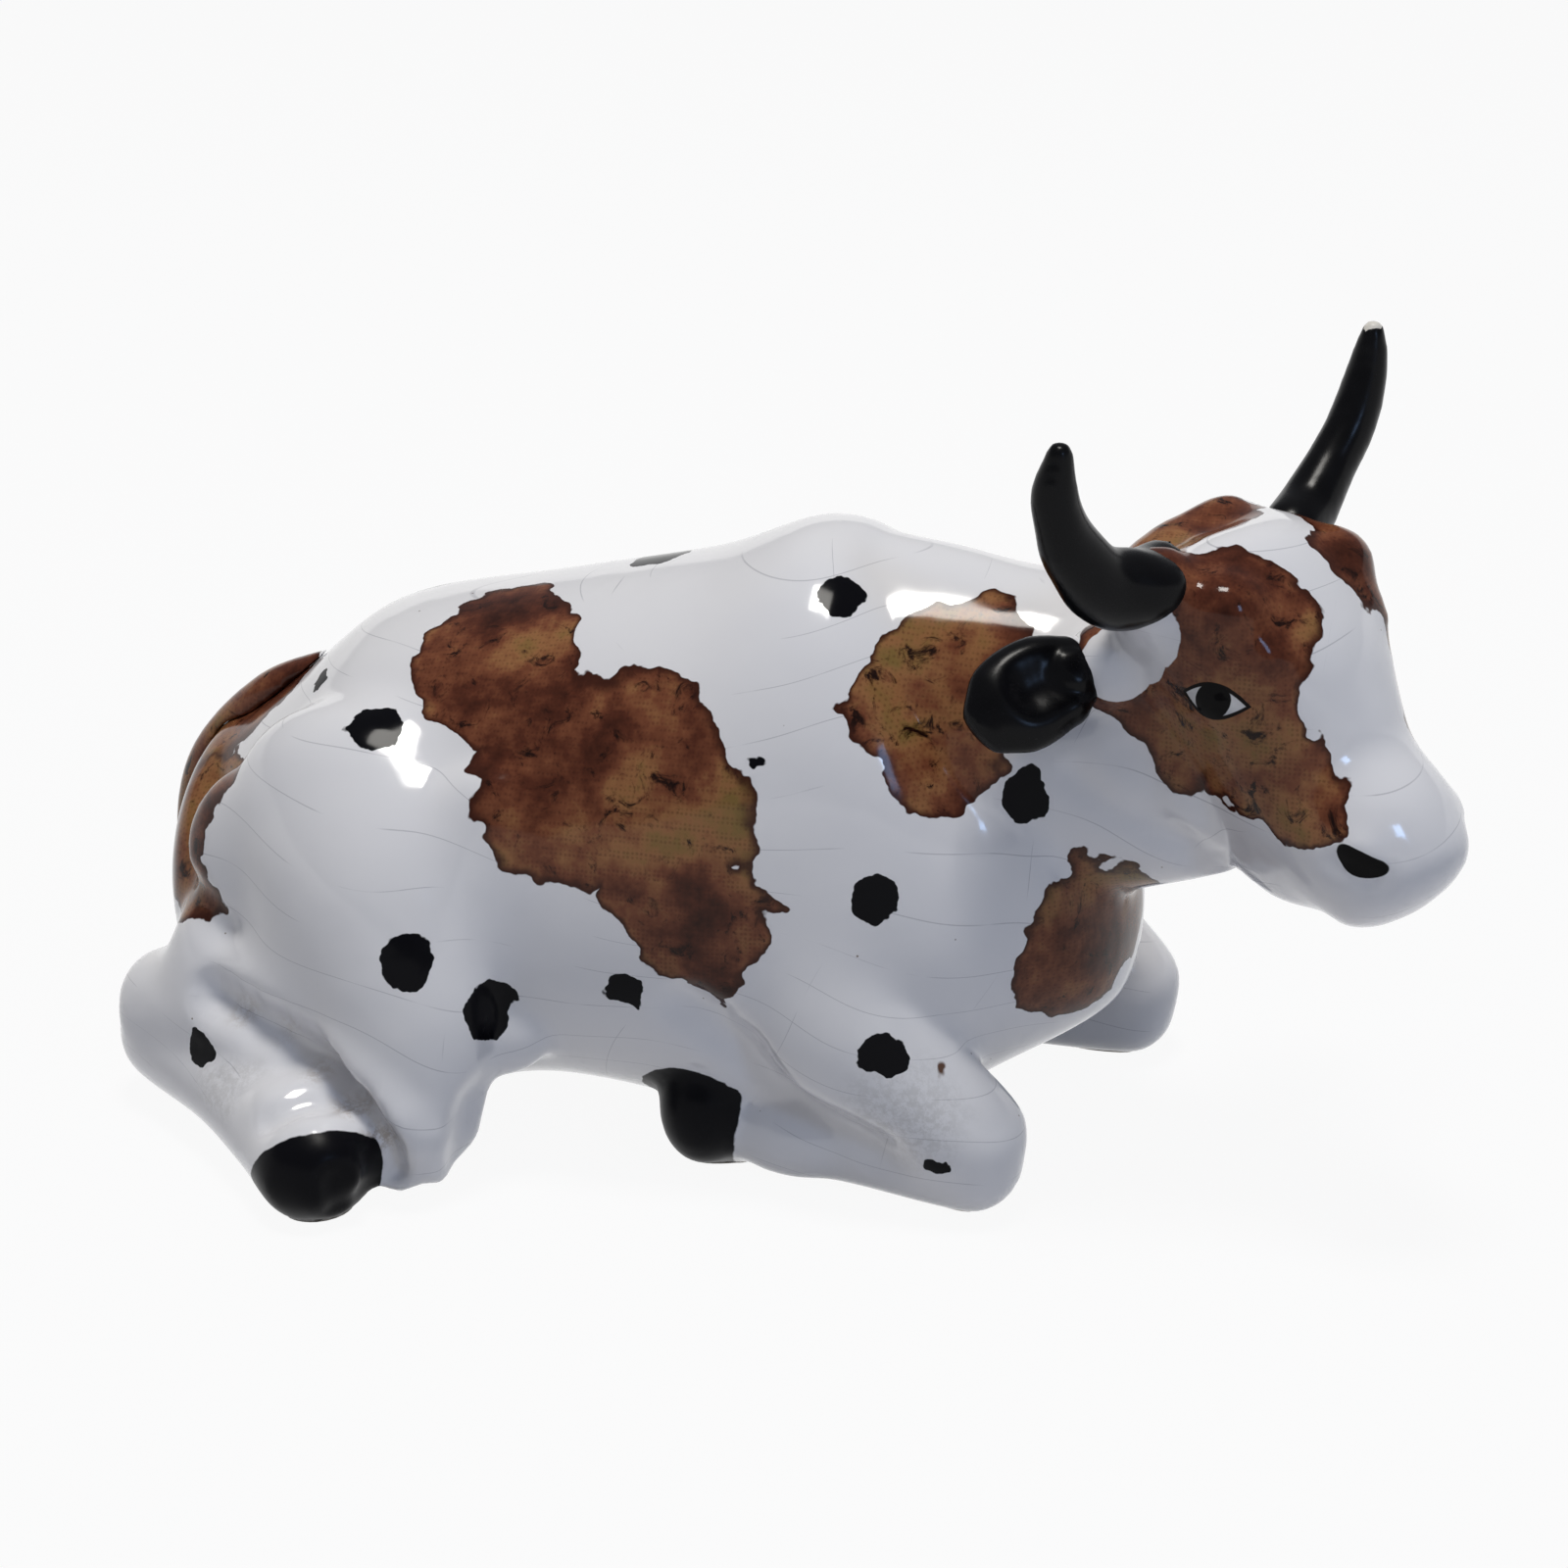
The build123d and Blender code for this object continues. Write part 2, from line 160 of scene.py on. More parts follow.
# %% [markdown]
# ## One skin from many castings
# On the real cow, liquid clay fills every joint and the glaze flows over it, so body, head and legs
# look like one skin. The solids could be joined by booleans, which leave sharp seams. Here copies of
# their meshes are joined with some balls of clay for muscle and bone, and a voxel Remesh rebuilds them
# as one even mesh, which blends the joints as the clay does. Plugs close the vents first, so that the
# hollow inside comes out as a separate island, which is then deleted.

# %% Copy, fill and remesh
SKIN_NODES = [
    "body_shell", "head_shell",
    "left_foreleg", "right_foreleg", "left_hind_leg", "right_hind_leg",
]
SKIN_VOXEL = 0.8
MERGE_DISTANCE = 0.01 * MM


def copy_of(node):
    """A merged copy of a solid's mesh, as a new piece."""
    piece = bpy.data.objects[node].copy()
    piece.data = bpy.data.objects[node].data.copy()
    bpy.context.collection.objects.link(piece)
    pick(piece)
    bpy.ops.object.mode_set(mode="EDIT")
    bpy.ops.mesh.select_all(action="SELECT")
    bpy.ops.mesh.remove_doubles(threshold=MERGE_DISTANCE)
    bpy.ops.object.mode_set(mode="OBJECT")
    return piece


def lump(place, radii):
    """A ball of clay, stretched to its three half-sizes."""
    bpy.ops.object.select_all(action="DESELECT")
    bpy.ops.mesh.primitive_uv_sphere_add(segments=32, ring_count=16, radius=MM, location=Vector(place) * MM)
    ball = bpy.context.object
    ball.scale = radii
    bpy.ops.object.transform_apply(location=True, rotation=False, scale=True)
    return ball


def remesh(piece, voxel):
    """Rebuild a piece as one even mesh, and keep only its largest island."""
    pick(piece)
    modifier = piece.modifiers.new("even", "REMESH")
    modifier.mode = "VOXEL"
    modifier.voxel_size = voxel * MM
    bpy.ops.object.modifier_apply(modifier="even")
    bpy.ops.object.mode_set(mode="EDIT")
    bpy.ops.mesh.select_all(action="SELECT")
    bpy.ops.mesh.separate(type="LOOSE")
    bpy.ops.object.mode_set(mode="OBJECT")
    islands = sorted(bpy.context.selected_objects, key=lambda island: len(island.data.vertices))
    for island in islands[:-1]:
        bpy.data.objects.remove(island)
    pick(islands[-1])
    return islands[-1]


def damp_group(piece, spots):
    """A vertex group that is full at some spots of place and reach, and fades to nothing around them."""
    group = piece.vertex_groups.new(name="damp")
    for vertex in piece.data.vertices:
        nearest = min((vertex.co / MM - Vector(place)).length / reach for place, reach in spots)
        if nearest < 1.0:
            group.add([vertex.index], 1.0 - nearest * nearest * (3.0 - 2.0 * nearest), "REPLACE")
    return group.name


def sponge(piece, repeats, spots=()):
    """Relax a piece's mesh, as a wet sponge does on clay: all over, or around some spots."""
    pick(piece)
    modifier = piece.modifiers.new("sponge", "SMOOTH")
    modifier.factor = 0.5
    modifier.iterations = repeats
    if spots:
        modifier.vertex_group = damp_group(piece, spots)
    bpy.ops.object.modifier_apply(modifier="sponge")
    piece.vertex_groups.clear()


BELLY_VENT = (-22.0, 0.0)
VENT_PLUGS = [((*BELLY_VENT, 2.0), 3.0), ((29.0, -2.0, 47.5), 4.0)]
members = [copy_of(node) for node in SKIN_NODES]
clay = [lump(place, [radius] * 3) for place, radius in VENT_PLUGS]
print("members:", len(members), "plugs:", len(clay))

# %% [markdown]
# ## Muscle and bone
# A modeller fills the hollows between the limbs and the trunk with small balls of clay. Each ball here
# is a sphere, stretched to size. Those of the body come in pairs, one on each side, and those of the
# head are set out in its own directions. Sculpting would do as well, but balls can be written down as
# places and sizes. The Remesh then makes one surface of everything.

# %% Balls of clay on the body and the head
BODY_CLAY = {
    "flank": ((-33.0, 24.5, 33.0), (10.0, 5.0, 13.0)),
    "hip": ((-50.0, 19.5, 40.0), (13.0, 8.0, 10.0)),
    "rump": ((-60.0, 20.0, 30.0), (10.0, 7.0, 12.0)),
    "shoulder": ((3.0, 21.5, 31.0), (13.0, 6.0, 13.0)),
    "flank fold": ((-32.0, 25.5, 16.5), (6.5, 5.0, 5.5)),
    "stifle front": ((-36.2, 34.0, 8.0), (3.7, 4.4, 7.0)),
    "stifle back": ((-39.6, 36.0, 8.5), (4.0, 4.4, 8.0)),
    "fetlock": ((-51.5, 37.0, 8.0), (6.0, 5.6, 5.0)),
    "hoof": ((-46.6, 41.8, 5.6), (6.2, 6.2, 5.8)),
    "gaskin": ((-66.0, 23.0, 19.5), (6.0, 6.0, 7.0)),
}
FORELEG_CLAY = {
    "fore hoof": ((-9.7, 20.5, 7.6), (5.2, 5.8, 6.8)),
    "fore cannon": ((1.0, 20.5, 5.6), (9.0, 4.6, 5.0)),
}
FORELEG_SHIFT = {1.0: 8.5, -1.0: 0.0}
HEAD_CLAY = {
    "brow": ((6.5, 8.4, 5.4), 5.0),
    "eyeball": ((13.2, 9.2, 1.0), 4.4),
    "brow ridge": ((12.0, 7.8, 5.8), 3.6),
    "jaw": ((15.0, 6.6, -11.5), 5.0),
    "nostril": ((33.5, 5.6, 1.8), 3.8),
    "ear seat": ((3.4, 11.8, -9.0), 4.8),
}
NEAR_HORN_SEAT = (0.8, -12.0, 2.0)
HORN_SEAT_RADIUS = 5.2
MELTED = [
    ((-50.0, 25.0, 43.0), 17.0),
    ((-33.0, 28.0, 34.0), 16.0),
    ((-60.0, 24.0, 32.0), 12.0),
    ((3.0, 26.0, 33.0), 15.0),
    ((-54.0, 32.0, 27.0), 14.0),
    ((-68.0, 24.0, 21.0), 9.0),
]
MELTED_BROW = ((10.0, 9.0, 4.0), 13.0)
MELTED_SEAT = ((2.0, 12.5, -3.0), 11.0)
EVEN_REPEATS = 6
MELT_REPEATS = 250
BROW_REPEATS = 40
SEAT_REPEATS = 60
HANDS = (1.0, -1.0)


def both_sides(spots):
    """Each spot of the cow's left side, with its mirror image on the right."""
    return [((x, side * y, z), reach) for (x, y, z), reach in spots for side in HANDS]


def both_cheeks(spot):
    """A spot given in the head's directions, on both sides of the face."""
    (down, side, out), reach = spot
    return [(on_head(down, hand * side, out), reach) for hand in HANDS]


for place, radii in BODY_CLAY.values():
    for side in HANDS:
        clay.append(lump((place[0], side * place[1], place[2]), radii))
for place, radii in FORELEG_CLAY.values():
    for side in HANDS:
        clay.append(lump((place[0] + FORELEG_SHIFT[side], side * place[1], place[2]), radii))
for (down, side, out), radius in HEAD_CLAY.values():
    for hand in HANDS:
        clay.append(lump(on_head(down, hand * side, out), [radius] * 3))
clay.append(lump(on_head(*NEAR_HORN_SEAT), [HORN_SEAT_RADIUS] * 3))

pick(*members, *clay)
bpy.ops.object.join()
skin = remesh(bpy.context.object, SKIN_VOXEL)
skin.name = "glazed_skin"
sponge(skin, EVEN_REPEATS)
sponge(skin, MELT_REPEATS, both_sides(MELTED))
sponge(skin, BROW_REPEATS, both_cheeks(MELTED_BROW))
sponge(skin, SEAT_REPEATS, both_cheeks(MELTED_SEAT))
print("skin faces:", len(skin.data.polygons))

# %% [markdown]
# ## Furrows and folds
# The modeller then draws a thumb along the clay: between gaskin and cannon, under the forearm, behind
# the jaw and into the nostrils. In Blender that is a move with proportional editing, which takes the
# neighbouring points along with a smooth falloff. Each stroke is a short row of places, moved together
# along one direction.

# %% Strokes of the thumb
def finder_of(piece):
    """A lookup of the piece's points by place."""
    finder = KDTree(len(piece.data.vertices))
    for vertex in piece.data.vertices:
        finder.insert(vertex.co, vertex.index)
    finder.balance()
    return finder


def stroke(piece, finder, places, way, depth, reach):
    """Press the skin near a row of places along a direction, with a falloff over the reach."""
    pick(piece)
    touched = set()
    for start, end in zip(places, places[1:] + places[-1:]):
        steps = max(1, round((Vector(end) - Vector(start)).length))
        for step in range(steps):
            place = Vector(start).lerp(Vector(end), step / steps)
            touched.add(finder.find(place * MM)[1])
    bpy.ops.object.mode_set(mode="EDIT")
    bpy.ops.mesh.select_mode(type="VERT")
    bpy.ops.mesh.select_all(action="DESELECT")
    shape = bmesh.from_edit_mesh(piece.data)
    shape.verts.ensure_lookup_table()
    for index in touched:
        shape.verts[index].select_set(True)
    bmesh.update_edit_mesh(piece.data)
    bpy.ops.transform.translate(
        value=Vector(way).normalized() * depth * MM,
        use_proportional_edit=True,
        proportional_edit_falloff="SMOOTH",
        proportional_size=reach * MM,
    )
    bpy.ops.object.mode_set(mode="OBJECT")


# Each stroke: its places on the cow's left side, the way it presses there, its depth and its reach
BODY_STROKES = {
    "hock furrow": ([(-63.0, 30.6, 18.2), (-55.3, 34.0, 17.0), (-50.7, 34.9, 15.6),
                     (-46.7, 35.3, 14.0)], (0.4, -1.0, -0.3), 3.2, 4.2),
    "hoof groove": ([(-46.0, 36.0, 13.6), (-43.0, 38.0, 11.6), (-40.2, 39.8, 8.6), (-39.4, 40.4, 4.0)],
                    (0.0, -1.0, 0.0), 3.0, 3.2),
    "hoof side": ([(-39.2, 42.1, 7.0), (-39.2, 42.0, 3.0)], (-1.0, 0.1, 0.0), 1.2, 3.6),
    "gaskin ridge": ([(-46.0, 36.5, 17.0), (-40.0, 39.1, 13.2), (-36.5, 38.0, 8.0)],
                     (0.0, 1.0, 0.2), 1.2, 4.0),
    "stifle edge": ([(-31.5, 33.5, 11.0), (-31.5, 34.0, 4.0)], (-1.0, -0.3, 0.0), 1.8, 5.0),
    "fetlock": ([(-49.5, 37.0, 12.0), (-47.5, 36.0, 12.4)], (0.2, 0.4, 1.0), 0.8, 3.4),
    "hoof cleft": ([(-42.0, 46.0, 2.0), (-42.8, 45.8, 6.0)], (-1.0, -0.8, 0.0), 1.4, 3.0),
    "pastern groove": ([(-51.0, 42.5, 9.6), (-47.3, 40.2, 11.8), (-44.0, 38.4, 12.0)],
                       (0.2, -0.4, -1.0), 1.2, 2.4),
    "buttock fold": ([(-70.0, 14.0, 36.0), (-67.0, 20.0, 29.0), (-63.0, 23.5, 24.0)],
                     (1.0, -0.8, 0.0), 1.2, 4.0),
}
FORELEG_STROKE = ([(-9.4, 28.5, 23.0), (-4.2, 26.6, 18.0), (-1.4, 24.9, 14.8), (2.5, 24.9, 12.2),
                   (7.3, 26.3, 10.4), (12.0, 27.0, 8.6)], (0.0, -1.0, 0.2), 2.2, 4.6)
HEAD_STROKES = {
    "nostril": ([(33.4, 9.0, 1.6), (36.6, 7.6, 3.0)], (0.3, -1.0, 0.0), 0.9, 2.2),
    "upper lid": ([(10.8, 12.8, 1.6), (13.0, 12.4, 4.0), (15.6, 11.2, 4.4)],
                  (0.0, -1.0, 0.0), 0.6, 2.0),
    "jaw crease": ([(12.0, 10.0, -13.0), (18.0, 10.0, -15.5), (24.0, 7.0, -15.5)],
                   (0.0, -1.0, 0.3), 1.0, 3.4),
}
# The head is turned to the right, so these strokes are on one side only
LONE_STROKES = {
    "crown": ([(33.5, -9.5, 73.5), (38.5, -3.5, 75.3)], (0.0, 0.0, -1.0), 2.5, 8.0),
    "chin": ([on_head(27.0, -3.0, -14.0), on_head(32.0, -3.0, -11.5)], -brow_way, 2.5, 7.0),
    "nape": ([(6.0, 0.0, 67.0), (12.0, 0.0, 66.0)], (0.0, 0.0, 1.0), 0.9, 9.0),
    "throat fold": ([(29.5, -15.6, 48.0), (32.5, -15.5, 46.0), (35.8, -15.2, 44.3), (40.0, -13.8, 41.5),
                     (44.5, -11.5, 39.0)], (-0.2, 1.0, 0.1), 1.0, 2.8),
}
skin_finder = finder_of(skin)
for places, way, depth, reach in LONE_STROKES.values():
    stroke(skin, skin_finder, places, way, depth, reach)
for places, way, depth, reach in BODY_STROKES.values():
    for side in HANDS:
        path = [(x, side * y, z) for x, y, z in places]
        stroke(skin, skin_finder, path, (way[0], side * way[1], way[2]), depth, reach)
for side in HANDS:
    places, way, depth, reach = FORELEG_STROKE
    path = [(x + FORELEG_SHIFT[side], side * y, z) for x, y, z in places]
    stroke(skin, skin_finder, path, (way[0], side * way[1], way[2]), depth, reach)
for places, way, depth, reach in HEAD_STROKES.values():
    for hand in HANDS:
        towards = face_way * way[0] + left_way * (hand * way[1]) + brow_way * way[2]
        path = [on_head(down, hand * side, out) for down, side, out in places]
        stroke(skin, skin_finder, path, towards, depth, reach)
sponge(skin, EVEN_REPEATS)
CREASE_ENDS = [(-1.0, 25.0, 14.5), (12.5, 26.5, 8.4)]
CREASE_REACH = 6.0
CREASE_REPEATS = 20
crease_spots = [
    ((x + FORELEG_SHIFT[side], side * y, z), CREASE_REACH) for x, y, z in CREASE_ENDS for side in HANDS
]
sponge(skin, CREASE_REPEATS, crease_spots)
print("strokes:", len(LONE_STROKES) + 2 * (len(BODY_STROKES) + len(HEAD_STROKES) + 1))

# %% [markdown]
# ## The flat foot
# The soft cow is pressed on a flat board, so that it stands firm. Scaling its lowest points flat would
# leave a ragged edge. A bisect just above the ground cuts the skin level and fills the cut, and the
# flat face is then moved down to the ground.

# %% Flat foot
PRESSED_BELOW = 0.3
CUT_TOLERANCE = 0.0001
pick(skin)
bpy.ops.object.mode_set(mode="EDIT")
bpy.ops.mesh.select_all(action="SELECT")
bpy.ops.mesh.bisect(
    plane_co=(0.0, 0.0, PRESSED_BELOW * MM), plane_no=(0.0, 0.0, 1.0), use_fill=True, clear_inner=True,
    threshold=CUT_TOLERANCE * MM,
)
bpy.ops.transform.translate(value=(0.0, 0.0, -PRESSED_BELOW * MM))
bpy.ops.mesh.select_all(action="SELECT")
bpy.ops.mesh.normals_make_consistent(inside=False)
bpy.ops.object.mode_set(mode="OBJECT")
print("points on the ground:", sum(1 for vertex in skin.data.vertices if abs(vertex.co.z) < MERGE_DISTANCE))

# %% [markdown]
# ## The vent
# Slip-cast ware needs a hole for the air, or it bursts in the kiln. It sits under the belly, where
# nobody looks. The hole could be painted dark, but a real one looks right from below: a cylinder is cut
# away with a boolean, and its end inside the clay becomes the dark bottom of the hole.

# %% Vent under the belly
VENT_RADIUS = 1.75
VENT_DEPTH = 6.0
bpy.ops.object.select_all(action="DESELECT")
bpy.ops.mesh.primitive_cylinder_add(
    vertices=48, radius=VENT_RADIUS * MM, depth=2 * VENT_DEPTH * MM,
    location=Vector((*BELLY_VENT, 0.0)) * MM,
)
drill = bpy.context.object
pick(skin)
cut = skin.modifiers.new("vent", "BOOLEAN")
cut.operation = "DIFFERENCE"
cut.solver = "EXACT"
cut.object = drill
bpy.ops.object.modifier_apply(modifier="vent")
bpy.data.objects.remove(drill)
print("skin faces with the vent:", len(skin.data.polygons))

# %% [markdown]
# ## The tail
# The tail is a rolled strip of clay, stuck down the rump. Its solid is remeshed and relaxed on its own,
# which keeps the fine crease along its sides. Melted into the skin, it would lose that crease.

# %% Tail
TAIL_VOXEL = 0.5
TAIL_REPEATS = 8
tail = remesh(copy_of("tail"), TAIL_VOXEL)
tail.name = "tail_glazed"
sponge(tail, TAIL_REPEATS)
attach(tail, "root")
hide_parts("tail")
print(tail.name, len(tail.data.polygons))

# %% [markdown]
# ## The horns
# The horns are small solid castings, dipped in black. The near horn is a copy of its solid, with some
# balls of clay where its root flares, remeshed finely and relaxed. The far horn stands against the
# background, where its outline shows most. A copy of its solid with clay added or taken away came out
# lumpy, so it is rolled afresh as a tapering row of balls along its own centre line, and the Remesh
# makes one smooth horn of them, slimmer than the solid.

# %% Horns
HORN_VOXEL = 0.45
FIRST_HORN_REPEATS = 10
LAST_HORN_REPEATS = 12
# Each knot of the roll: a place on the centre line and the radius there, from root to tip
FAR_HORN_ROLL = [
    ((47.6, 3.0, 71.3), 3.4), ((48.5, 6.5, 72.3), 3.4), ((50.3, 10.5, 76.4), 2.85),
    ((51.6, 12.8, 79.3), 2.75), ((52.3, 14.1, 81.8), 2.65), ((52.9, 15.1, 85.0), 2.35),
    ((53.2, 15.5, 87.7), 1.9), ((53.3, 15.6, 89.9), 1.3),
]
ROLL_STEPS = 6
NEAR_HORN_FLARE = [((38.0, -18.6, 70.9), 3.2), ((36.4, -19.0, 71.0), 3.9), ((34.6, -19.8, 71.4), 4.1)]
FLARE_REACH = 7.0
FLARE_MELT = 90
NEAR_HORN_STROKE = ([(24.5, -24.0, 74.0), (25.0, -25.0, 78.0)], (0.96, 0.28, 0.0), 1.0, 7.0)


def roll(knots):
    """A row of balls that tapers from knot to knot, as a roll of clay does."""
    balls = []
    for (start, start_radius), (end, end_radius) in zip(knots, knots[1:]):
        for step in range(ROLL_STEPS):
            share = step / ROLL_STEPS
            radius = start_radius + (end_radius - start_radius) * share
            balls.append(lump(Vector(start).lerp(Vector(end), share), [radius] * 3))
    tip, tip_radius = knots[-1]
    return balls + [lump(tip, [tip_radius] * 3)]


black_pieces = []
near_horn = [copy_of("right_horn")] + [lump(place, [radius] * 3) for place, radius in NEAR_HORN_FLARE]
for name, lumps in (("left_horn", roll(FAR_HORN_ROLL)), ("right_horn", near_horn)):
    pick(*lumps)
    bpy.ops.object.join()
    horn = remesh(bpy.context.object, HORN_VOXEL)
    horn.name = f"{name}_glazed"
    sponge(horn, FIRST_HORN_REPEATS)
    if name == "right_horn":
        sponge(horn, FLARE_MELT, [(place, FLARE_REACH) for place, radius in NEAR_HORN_FLARE])
        places, way, depth, reach = NEAR_HORN_STROKE
        stroke(horn, finder_of(horn), places, way, depth, reach)
    sponge(horn, LAST_HORN_REPEATS)
    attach(horn, "root")
    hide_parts(name)
    black_pieces.append(horn)
    print(horn.name, len(horn.data.polygons))

# %% [markdown]
# ## The ears
# The ears are thick leaves of clay on short stalks, dipped in black like the horns. Each is a copy of
# its solid with two small lobes of clay on its edge, remeshed and relaxed. A thumb then presses the
# front hollow, as a real ear is, and the rim stays full. A boolean could cut the hollow, but its sharp
# edge would look carved.

# %% Ears
EAR_VOXEL = 0.4
EAR_LOBES = [((5.4, 17.8, -10.9), 2.4), ((2.6, 16.6, -8.8), 2.6)]
EAR_HOLLOW = 1.6
EAR_HOLLOW_REACH = 4.6
EAR_HOLLOW_ENDS = (-1.0, 4.0)
FIRST_EAR_REPEATS = 14
LAST_EAR_REPEATS = 4
for name, hand in (("left_ear", 1.0), ("right_ear", -1.0)):
    leaf = copy_of(name)
    lobes = [lump(on_head(down, hand * side, out), [radius] * 3) for (down, side, out), radius in EAR_LOBES]
    pick(leaf, *lobes)
    bpy.ops.object.join()
    ear = remesh(bpy.context.object, EAR_VOXEL)
    ear.name = f"{name}_glazed"
    sponge(ear, FIRST_EAR_REPEATS)
    points = [vertex.co / MM for vertex in ear.data.vertices]
    middle = sum(points, Vector()) / len(points)
    front = middle + brow_way * EAR_HOLLOW_REACH
    outwards = left_way * hand
    path = [front + outwards * end for end in EAR_HOLLOW_ENDS]
    stroke(ear, finder_of(ear), path, -brow_way, EAR_HOLLOW, EAR_HOLLOW_REACH)
    sponge(ear, LAST_EAR_REPEATS)
    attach(ear, "root")
    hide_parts(name)
    black_pieces.append(ear)
    print(ear.name, len(ear.data.polygons))

# %% [markdown]
# ## Glaze and underglaze colours
# The body is white earthenware with printed and painted colours under a clear glaze. Fired glaze is
# smooth glass, so it mirrors the lamps sharply, and with age it crazes into long fine cracks that take
# in a little dirt. Everything is painted by distance from a few places, with the coordinates shaken by
# noise first so that no edge is a true curve.

# %% Coordinates, shaken for uneven edges
def shaken_by(tree, mm, coordinates, grain, reach):
    """Coordinates moved about by noise of a grain size, by up to half the reach."""
    shake = add(tree, "ShaderNodeTexNoise", [("Vector", mm), ("Scale", 1 / grain), ("Detail", 3.0)])
    centred = add(tree, "ShaderNodeVectorMath", [
        (0, shake.outputs["Color"]), (1, (0.5, 0.5, 0.5)),
    ], operation="SUBTRACT")
    return add(tree, "ShaderNodeVectorMath", [
        (0, centred.outputs[0]), (1, (reach, reach, reach)), (2, coordinates),
    ], operation="MULTIPLY_ADD").outputs[0]


# To the eye: a cool white under wet-looking glass, with crisp lamps in it and hair-fine cracks
glaze, tree, shader, mm = new_material("crazed_clear_glaze_on_earthenware")
# Each shake: its grain and its reach
DIP_SHAKE = (2.5, 0.8)
BLOT_SHAKE = (4.0, 4.0)
PATCH_SHAKE = (16.0, 16.0)
mildly_shaken = shaken_by(tree, mm, mm, *DIP_SHAKE)
fine_shaken = shaken_by(tree, mm, mm, *BLOT_SHAKE)
shaken = shaken_by(tree, mm, fine_shaken, *PATCH_SHAKE)


def nearness(tree, coordinates, ovals):
    """How far a point lies from the nearest of these ovals: 1 on an oval's edge, less inside it."""
    nearest = None
    for centre, radii in ovals:
        offset = add(tree, "ShaderNodeVectorMath", [(0, coordinates), (1, centre)], operation="SUBTRACT")
        shrink = [1 / radius for radius in radii]
        scaled = add(tree, "ShaderNodeVectorMath", [
            (0, offset.outputs[0]), (1, shrink),
        ], operation="MULTIPLY")
        length = add(tree, "ShaderNodeVectorMath", [(0, scaled.outputs[0])], operation="LENGTH")
        distance = length.outputs["Value"]
        if nearest is None:
            nearest = distance
        else:
            lesser = add(tree, "ShaderNodeMath", [(0, nearest), (1, distance)], operation="MINIMUM")
            nearest = lesser.outputs[0]
    return nearest


def step_down(tree, value, full, none):
    """1 where the value is at most full, falling smoothly to 0 at none."""
    return add(tree, "ShaderNodeMapRange", [
        ("Value", value), ("From Min", full), ("From Max", none), ("To Min", 1.0), ("To Max", 0.0),
    ], interpolation_type="SMOOTHSTEP").outputs[0]


def overlay(tree, amount, below, above):
    """One colour laid over another by an amount."""
    return add(tree, "ShaderNodeMix", [(0, amount), (6, below), (7, above)], data_type="RGBA").outputs[2]


print("nodes so far:", len(tree.nodes))

# %% [markdown]
# ### Brown hide
# The hide patches are printed in mottled browns: rust, tan and ochre with dark cracks, a darker rim and
# the fine screen dots of the print. An image could carry all that, but noise needs no file and has no
# seam. The dots are half a millimetre apart, which is as fine as the render can show.

# %% Brown hide patches
HIDE_PATCHES = [
    ((-20.0, -25.0, 45.0), (16.0, 18.0, 13.0)),
    ((-35.0, -16.0, 56.0), (11.0, 16.0, 9.0)),
    ((-9.0, -27.0, 33.0), (9.0, 12.0, 9.0)),
    ((15.0, -17.0, 57.0), (9.0, 14.0, 11.0)),
    ((-70.0, -20.0, 34.0), (8.5, 13.0, 12.0)),
    ((-67.0, 8.0, 39.0), (12.0, 18.0, 11.0)),
    ((-76.0, 1.0, 20.0), (10.0, 9.0, 24.0)),
    ((29.0, -9.0, 30.0), (9.0, 12.0, 10.0)),
    ((-30.0, 28.0, 38.0), (17.0, 16.0, 14.0)),
    ((-44.0, 26.0, 22.0), (12.0, 14.0, 11.0)),
    ((6.0, 25.0, 45.0), (12.0, 13.0, 13.0)),
]
FACE_PATCHES = [
    (tuple(on_head(9.0, -13.0, 2.0)), (14.0, 11.0, 14.0)),
    (tuple(on_head(9.0, 13.0, 2.0)), (14.0, 11.0, 14.0)),
    (tuple(on_head(21.0, -10.0, 2.0)), (9.0, 8.0, 8.0)),
    (tuple(on_head(21.0, 10.0, 2.0)), (9.0, 8.0, 8.0)),
    (tuple(on_head(-6.0, 0.0, -2.0)), (7.0, 8.0, 7.0)),
]
tail_end = min((vertex.co / MM for vertex in tail.data.vertices), key=lambda point: point.z)
TAIL_END_PATCH = (tuple(tail_end), (7.0, 7.0, 9.0))
hide = nearness(tree, shaken, HIDE_PATCHES + FACE_PATCHES + [TAIL_END_PATCH])
on_hide = step_down(tree, hide, 0.985, 1.0)
off_rim = step_down(tree, hide, 0.88, 0.99)

MOTTLE_SIZE = 11.0
CRACK_SIZE = 3.0
broad = add(tree, "ShaderNodeTexNoise", [
    ("Vector", mm), ("Scale", 1 / MOTTLE_SIZE), ("Detail", 5.0), ("Roughness", 0.62),
])
browns = add(tree, "ShaderNodeValToRGB", [("Fac", broad.outputs["Fac"])])
BROWN_STOPS = [
    (0.32, "#32170f"), (0.42, "#552c1e"), (0.50, "#75452f"), (0.58, "#8f6340"), (0.68, "#7a6136"),
]
stops = browns.color_ramp.elements
stops[0].position, stops[0].color = BROWN_STOPS[0][0], linear(BROWN_STOPS[0][1])
stops[1].position, stops[1].color = BROWN_STOPS[-1][0], linear(BROWN_STOPS[-1][1])
for position, hex_code in BROWN_STOPS[1:-1]:
    stops.new(position).color = linear(hex_code)

